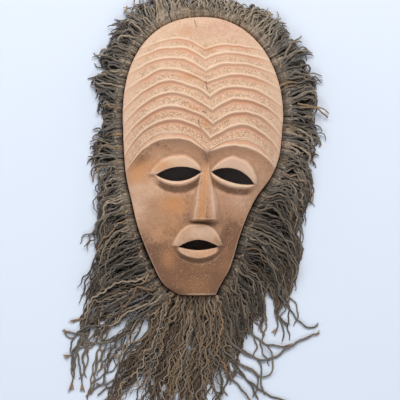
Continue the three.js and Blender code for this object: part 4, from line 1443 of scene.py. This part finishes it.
def scarGroup():  # a dark line between two points of the face
    nodes, given, result = newGroup("scar", {"From": None, "To": None, "Width": 0.0006}, ["Mask"])

    def vectors(operation, *feeds, **values):
        return nodes.add("VectorMath", feeds, operation=operation, **values).outputs

    flat = vectors("MULTIPLY", nodes.place(), (1, 1, 0))[0]
    away = vectors("SUBTRACT", flat, given["From"])[0]
    line = vectors("SUBTRACT", given["To"], given["From"])[0]
    dots = [vectors("DOT_PRODUCT", vector, line)["Value"] for vector in (away, line)]
    along = vectors("SCALE", line, Scale=nodes.maths("DIVIDE", *dots, clamped=True))[0]
    ratio = nodes.maths("DIVIDE", vectors("DISTANCE", away, along)["Value"], given["Width"])
    nodes.feed(result["Mask"], nodes.maths("SUBTRACT", 1.5, ratio, clamped=True))
    return nodes.tree


# Cracks and worm holes, painted near black for the shade inside them: two ends in pixels of the picture, and
# the half width in mm.
scars = [
    (194.5, 20.5, 195.3, 23.5, 0.5), (195.3, 23.5, 196.8, 27.5, 0.45), (196.8, 110.2, 197.2, 110.8, 0.8),
    (203.3, 112.3, 203.8, 113, 0.8), (205.8, 113.2, 206.3, 113.8, 0.8), (212, 117.5, 212.3, 118.3, 0.6),
    (198.2, 121, 199, 125.5, 0.5), (199, 125.5, 201.8, 129.5, 0.55), (206, 82, 206.2, 87, 0.45),
    (206.2, 87, 208, 91, 0.6), (201.2, 138, 202.2, 138.6, 0.6), (236.4, 31.2, 236.8, 31.5, 0.5),
    (208, 98, 207.8, 101, 0.4),
]
# The wood's colours. The cove colour is partly painted shade and the crest colour partly painted highlight; the
# colour for creases is painted shade, that for bulges wear and painted highlight, and the hole colour the
# painted shade inside cracks and holes.
woodFinish = {
    "pale": (211, 177, 149), "peach": (198, 158, 130), "brown": (174, 131, 100), "deep": (118, 82, 58),
    "cove": (205, 150, 119), "crest": (238, 210, 182), "grit": (164, 128, 98), "amber": (196, 136, 88),
    "pink": (204, 160, 143), "wornAndLit": (222, 186, 154), "creaseShade": (110, 80, 60), "speck": (222, 186, 150),
    "hole": (34, 22, 16), "back": (176, 142, 108),
}
faceAttributes = {
    "ridge": ("cove", "crest", "rough"), "zone": ("dark", "warm", "inside"),
    "wear": ("wornAndLit", "creaseShade", "below"),
}


def holesIn(nodes, groups):  # the scars one by one, and a few scattered pits
    marks = []
    for ax, ay, bx, by, width in scars:
        start, end = ((*((onPicture(*point) + shift[:2]) * mm), 0) for point in ((ax, ay), (bx, by)))
        marks.append(nodes.group(groups["scar"], From=start, To=end, Width=0.6 * width * mm)["Mask"])
    pits = nodes.group(groups["pits"], Spacing=0.03, Size=0.026, Share=0.3)["Mask"]
    holes = marks[0]
    for mark in (*marks[1:], nodes.times(pits, 0.7)):
        holes = nodes.maths("MAXIMUM", holes, mark)
    return holes


def woodMaterial(groups):
    material, nodes, shader = newMaterial("carved wood", 0.35)
    colour = {name: fromScreen(*value) for name, value in woodFinish.items()}
    made = {}
    for label, names in faceAttributes.items():
        made.update(zip(names, nodes.parts(nodes.attribute(label))))
    grain = nodes.group(groups["grain"])["Value"]
    patch = nodes.noise(42.0, 4.0, 0.6)
    grit = nodes.noise(620.0, 2.0, 0.6)
    coarse = nodes.noise(470.0, 3.0, 0.7)
    # dark carries the wood's tone together with its painted shade and painted light
    mottled = made["dark"]
    for field, share in ((patch, 0.5), (nodes.noise(170.0, 5.0, 0.65), 0.45), (grit, 0.45), (grain, 0.14)):
        mottled = nodes.maths("MULTIPLY_ADD", nodes.maths("SUBTRACT", field, 0.5), share, mottled)
    patchy = nodes.times(made["rough"], nodes.ramp(nodes.noise(95.0, 2.0, 0.55), 0.36, 0.6, 0.25, 1.0))
    speck = nodes.group(groups["speckle"], Size=0.0013, Amount=0.52)["Mask"]
    holes = holesIn(nodes, groups)
    tone = nodes.layered(colour, colour["pale"], (
        (nodes.ramp(mottled, 0.0, 0.34), "peach"),
        (nodes.ramp(mottled, 0.3, 0.66), "brown"),
        (nodes.ramp(mottled, 0.66, 1.05), "deep"),
        (nodes.ramp(made["warm"], 0.05, 0.9, 0.0, 0.75), "amber"),
        (nodes.ramp(made["warm"], -0.05, -0.7, 0.0, 0.55), "pink"),
        # partly the wood's tone and partly painted shade under the crests
        (nodes.times(made["cove"], nodes.ramp(patch, 0.25, 0.7, 0.95, 0.55)), "cove"),
        (nodes.times(patchy, nodes.ramp(coarse, 0.48, 0.6, 0.0, 0.62)), "grit"),
        (nodes.times(made["rough"], nodes.ramp(coarse, 0.44, 0.32, 0.0, 0.6)), "crest"),
        (nodes.times(patchy, nodes.ramp(grit, 0.46, 0.6, 0.0, 0.7)), "grit"),
        (nodes.times(made["rough"], nodes.ramp(grit, 0.45, 0.3, 0.0, 0.5)), "crest"),
        (nodes.times(speck, made["below"], nodes.ramp(patch, 0.4, 0.6, 0.3, 0.8)), "speck"),
        # painted shade in the creases below the brow
        (nodes.times(made["creaseShade"], made["below"], 0.3), "creaseShade"),
        # painted highlight along the crests
        (nodes.times(made["crest"], 0.7), "crest"),
        # lighter on bulges, partly wear and partly painted highlight
        (nodes.times(made["wornAndLit"], nodes.ramp(grit, 0.3, 0.7, 0.5, 0.25)), "wornAndLit"),
        # painted shade: the cracks and holes are only bumped, so they are painted near black
        (nodes.times(holes, 0.9), "hole"),
    ))
    raw = nodes.blend(nodes.ramp(grain, 0.35, 0.7), colour["back"], colour["brown"])
    nodes.feed(shader["Base Color"], nodes.blend(made["inside"], tone, raw))
    dull = nodes.maths("MULTIPLY_ADD", patch, 0.14, 0.68)
    nodes.feed(shader["Roughness"], nodes.maths("SUBTRACT", dull, nodes.times(made["below"], 0.2)))
    bumpy = nodes.times(nodes.noise(700.0, 3.0, 0.55), nodes.maths("MULTIPLY_ADD", made["rough"], 1.6, 0.3))
    for field, share in ((grain, 0.45), (holes, -3.0)):
        bumpy = nodes.maths("MULTIPLY_ADD", field, share, bumpy)
    nodes.feed(shader["Normal"], nodes.bump(bumpy, 0.6, 0.0006))
    return material


# Colours of the cords: deep is painted shade, for the cords under the others and the grooves between plies;
# light is painted light on the cords over them, and the pale flecks of fibre.
fibreFinish = {
    "ash": (106, 101, 96), "olive": (114, 103, 89), "tan": (150, 118, 86), "deep": (38, 31, 27),
    "tip": (126, 90, 60), "light": (172, 154, 133),
}


def fibreMaterial(name, groups, warmth):
    material, nodes, shader = newMaterial(name, 0.3)
    colour = {key: fromScreen(*value) for key, value in fibreFinish.items()}
    shade, tint, along = nodes.parts(nodes.attribute("look"))
    ply = nodes.group(groups["ply"], Ply=nodes.attribute("ply"))
    groove, fibres = ply["Groove"], ply["Fibres"]
    warm = nodes.maths("ADD", tint, warmth, clamped=True)
    base = nodes.layered(colour, colour["ash"], (
        (nodes.ramp(warm, 0.0, 0.35), "olive"),
        (nodes.ramp(warm, 0.25, 1.1), "tan"),
        # painted shade: cords with low shade values, the under ones, are darker; painted light: those with high
        # values, the over ones, lighter
        (nodes.ramp(shade, 0.45, 0.0, 0.0, 0.75), "deep"),
        (nodes.ramp(shade, 0.6, 1.0, 0.0, 0.7), "light"),
        (nodes.ramp(along, 0.82, 1.0, 0.0, 0.45), "tip"),
        # painted shade in the groove between the two plies
        (nodes.times(groove, 0.65), "deep"),
        (nodes.ramp(fibres, 0.5, 0.8, 0.0, 0.35), "light"),
    ))
    nodes.feed(shader["Base Color"], base)
    nodes.feed(shader["Roughness"], nodes.maths("ADD", 0.78, nodes.times(fibres, 0.2)))
    shader["Sheen Weight"].default_value = 0.15
    relief = nodes.maths("SUBTRACT", nodes.times(fibres, 0.4), groove)
    nodes.feed(shader["Normal"], nodes.bump(relief, 0.7, 0.0004))
    return material


def floorMaterial():
    material, nodes, shader = newMaterial("pale floor", 0.2)
    noise = nodes.add("TexNoise", Scale=3.0, Detail=2.0).outputs["Fac"]
    low = tuple(0.985 * c for c in lighting["floor"])
    nodes.feed(shader["Base Color"], nodes.blend(noise, low, lighting["floor"]))
    shader["Roughness"].default_value = 0.7
    return material


def layFloor():
    work = bmesh.new()
    bmesh.ops.create_grid(work, x_segments=12, y_segments=12, size=4.0)
    data = bpy.data.meshes.new("floor")
    work.to_mesh(data)
    work.free()
    floor = addObject("floor", data)
    floor.location = (0, 0, -0.0003)
    data.materials.append(floorMaterial())


setUpView()
setUpLight()
layFloor()
print("camera, light and floor are set")
groups = {
    "speckle": speckleGroup(), "grain": grainGroup(), "pits": pitGroup(), "ply": plyGroup(),
    "scar": scarGroup(),
}
face = carveFace()
face.data.materials.clear()
face.data.materials.append(woodMaterial(groups))
heading = makeHeading()
heading.data.materials.append(fibreMaterial("heading fibre", groups, 0.15))
fibre = fibreMaterial("twisted fibre", groups, 0.0)
for piece in makeFringe():
    piece.data.materials.append(fibre)
print("fringe is made")

bpy.context.view_layer.update()
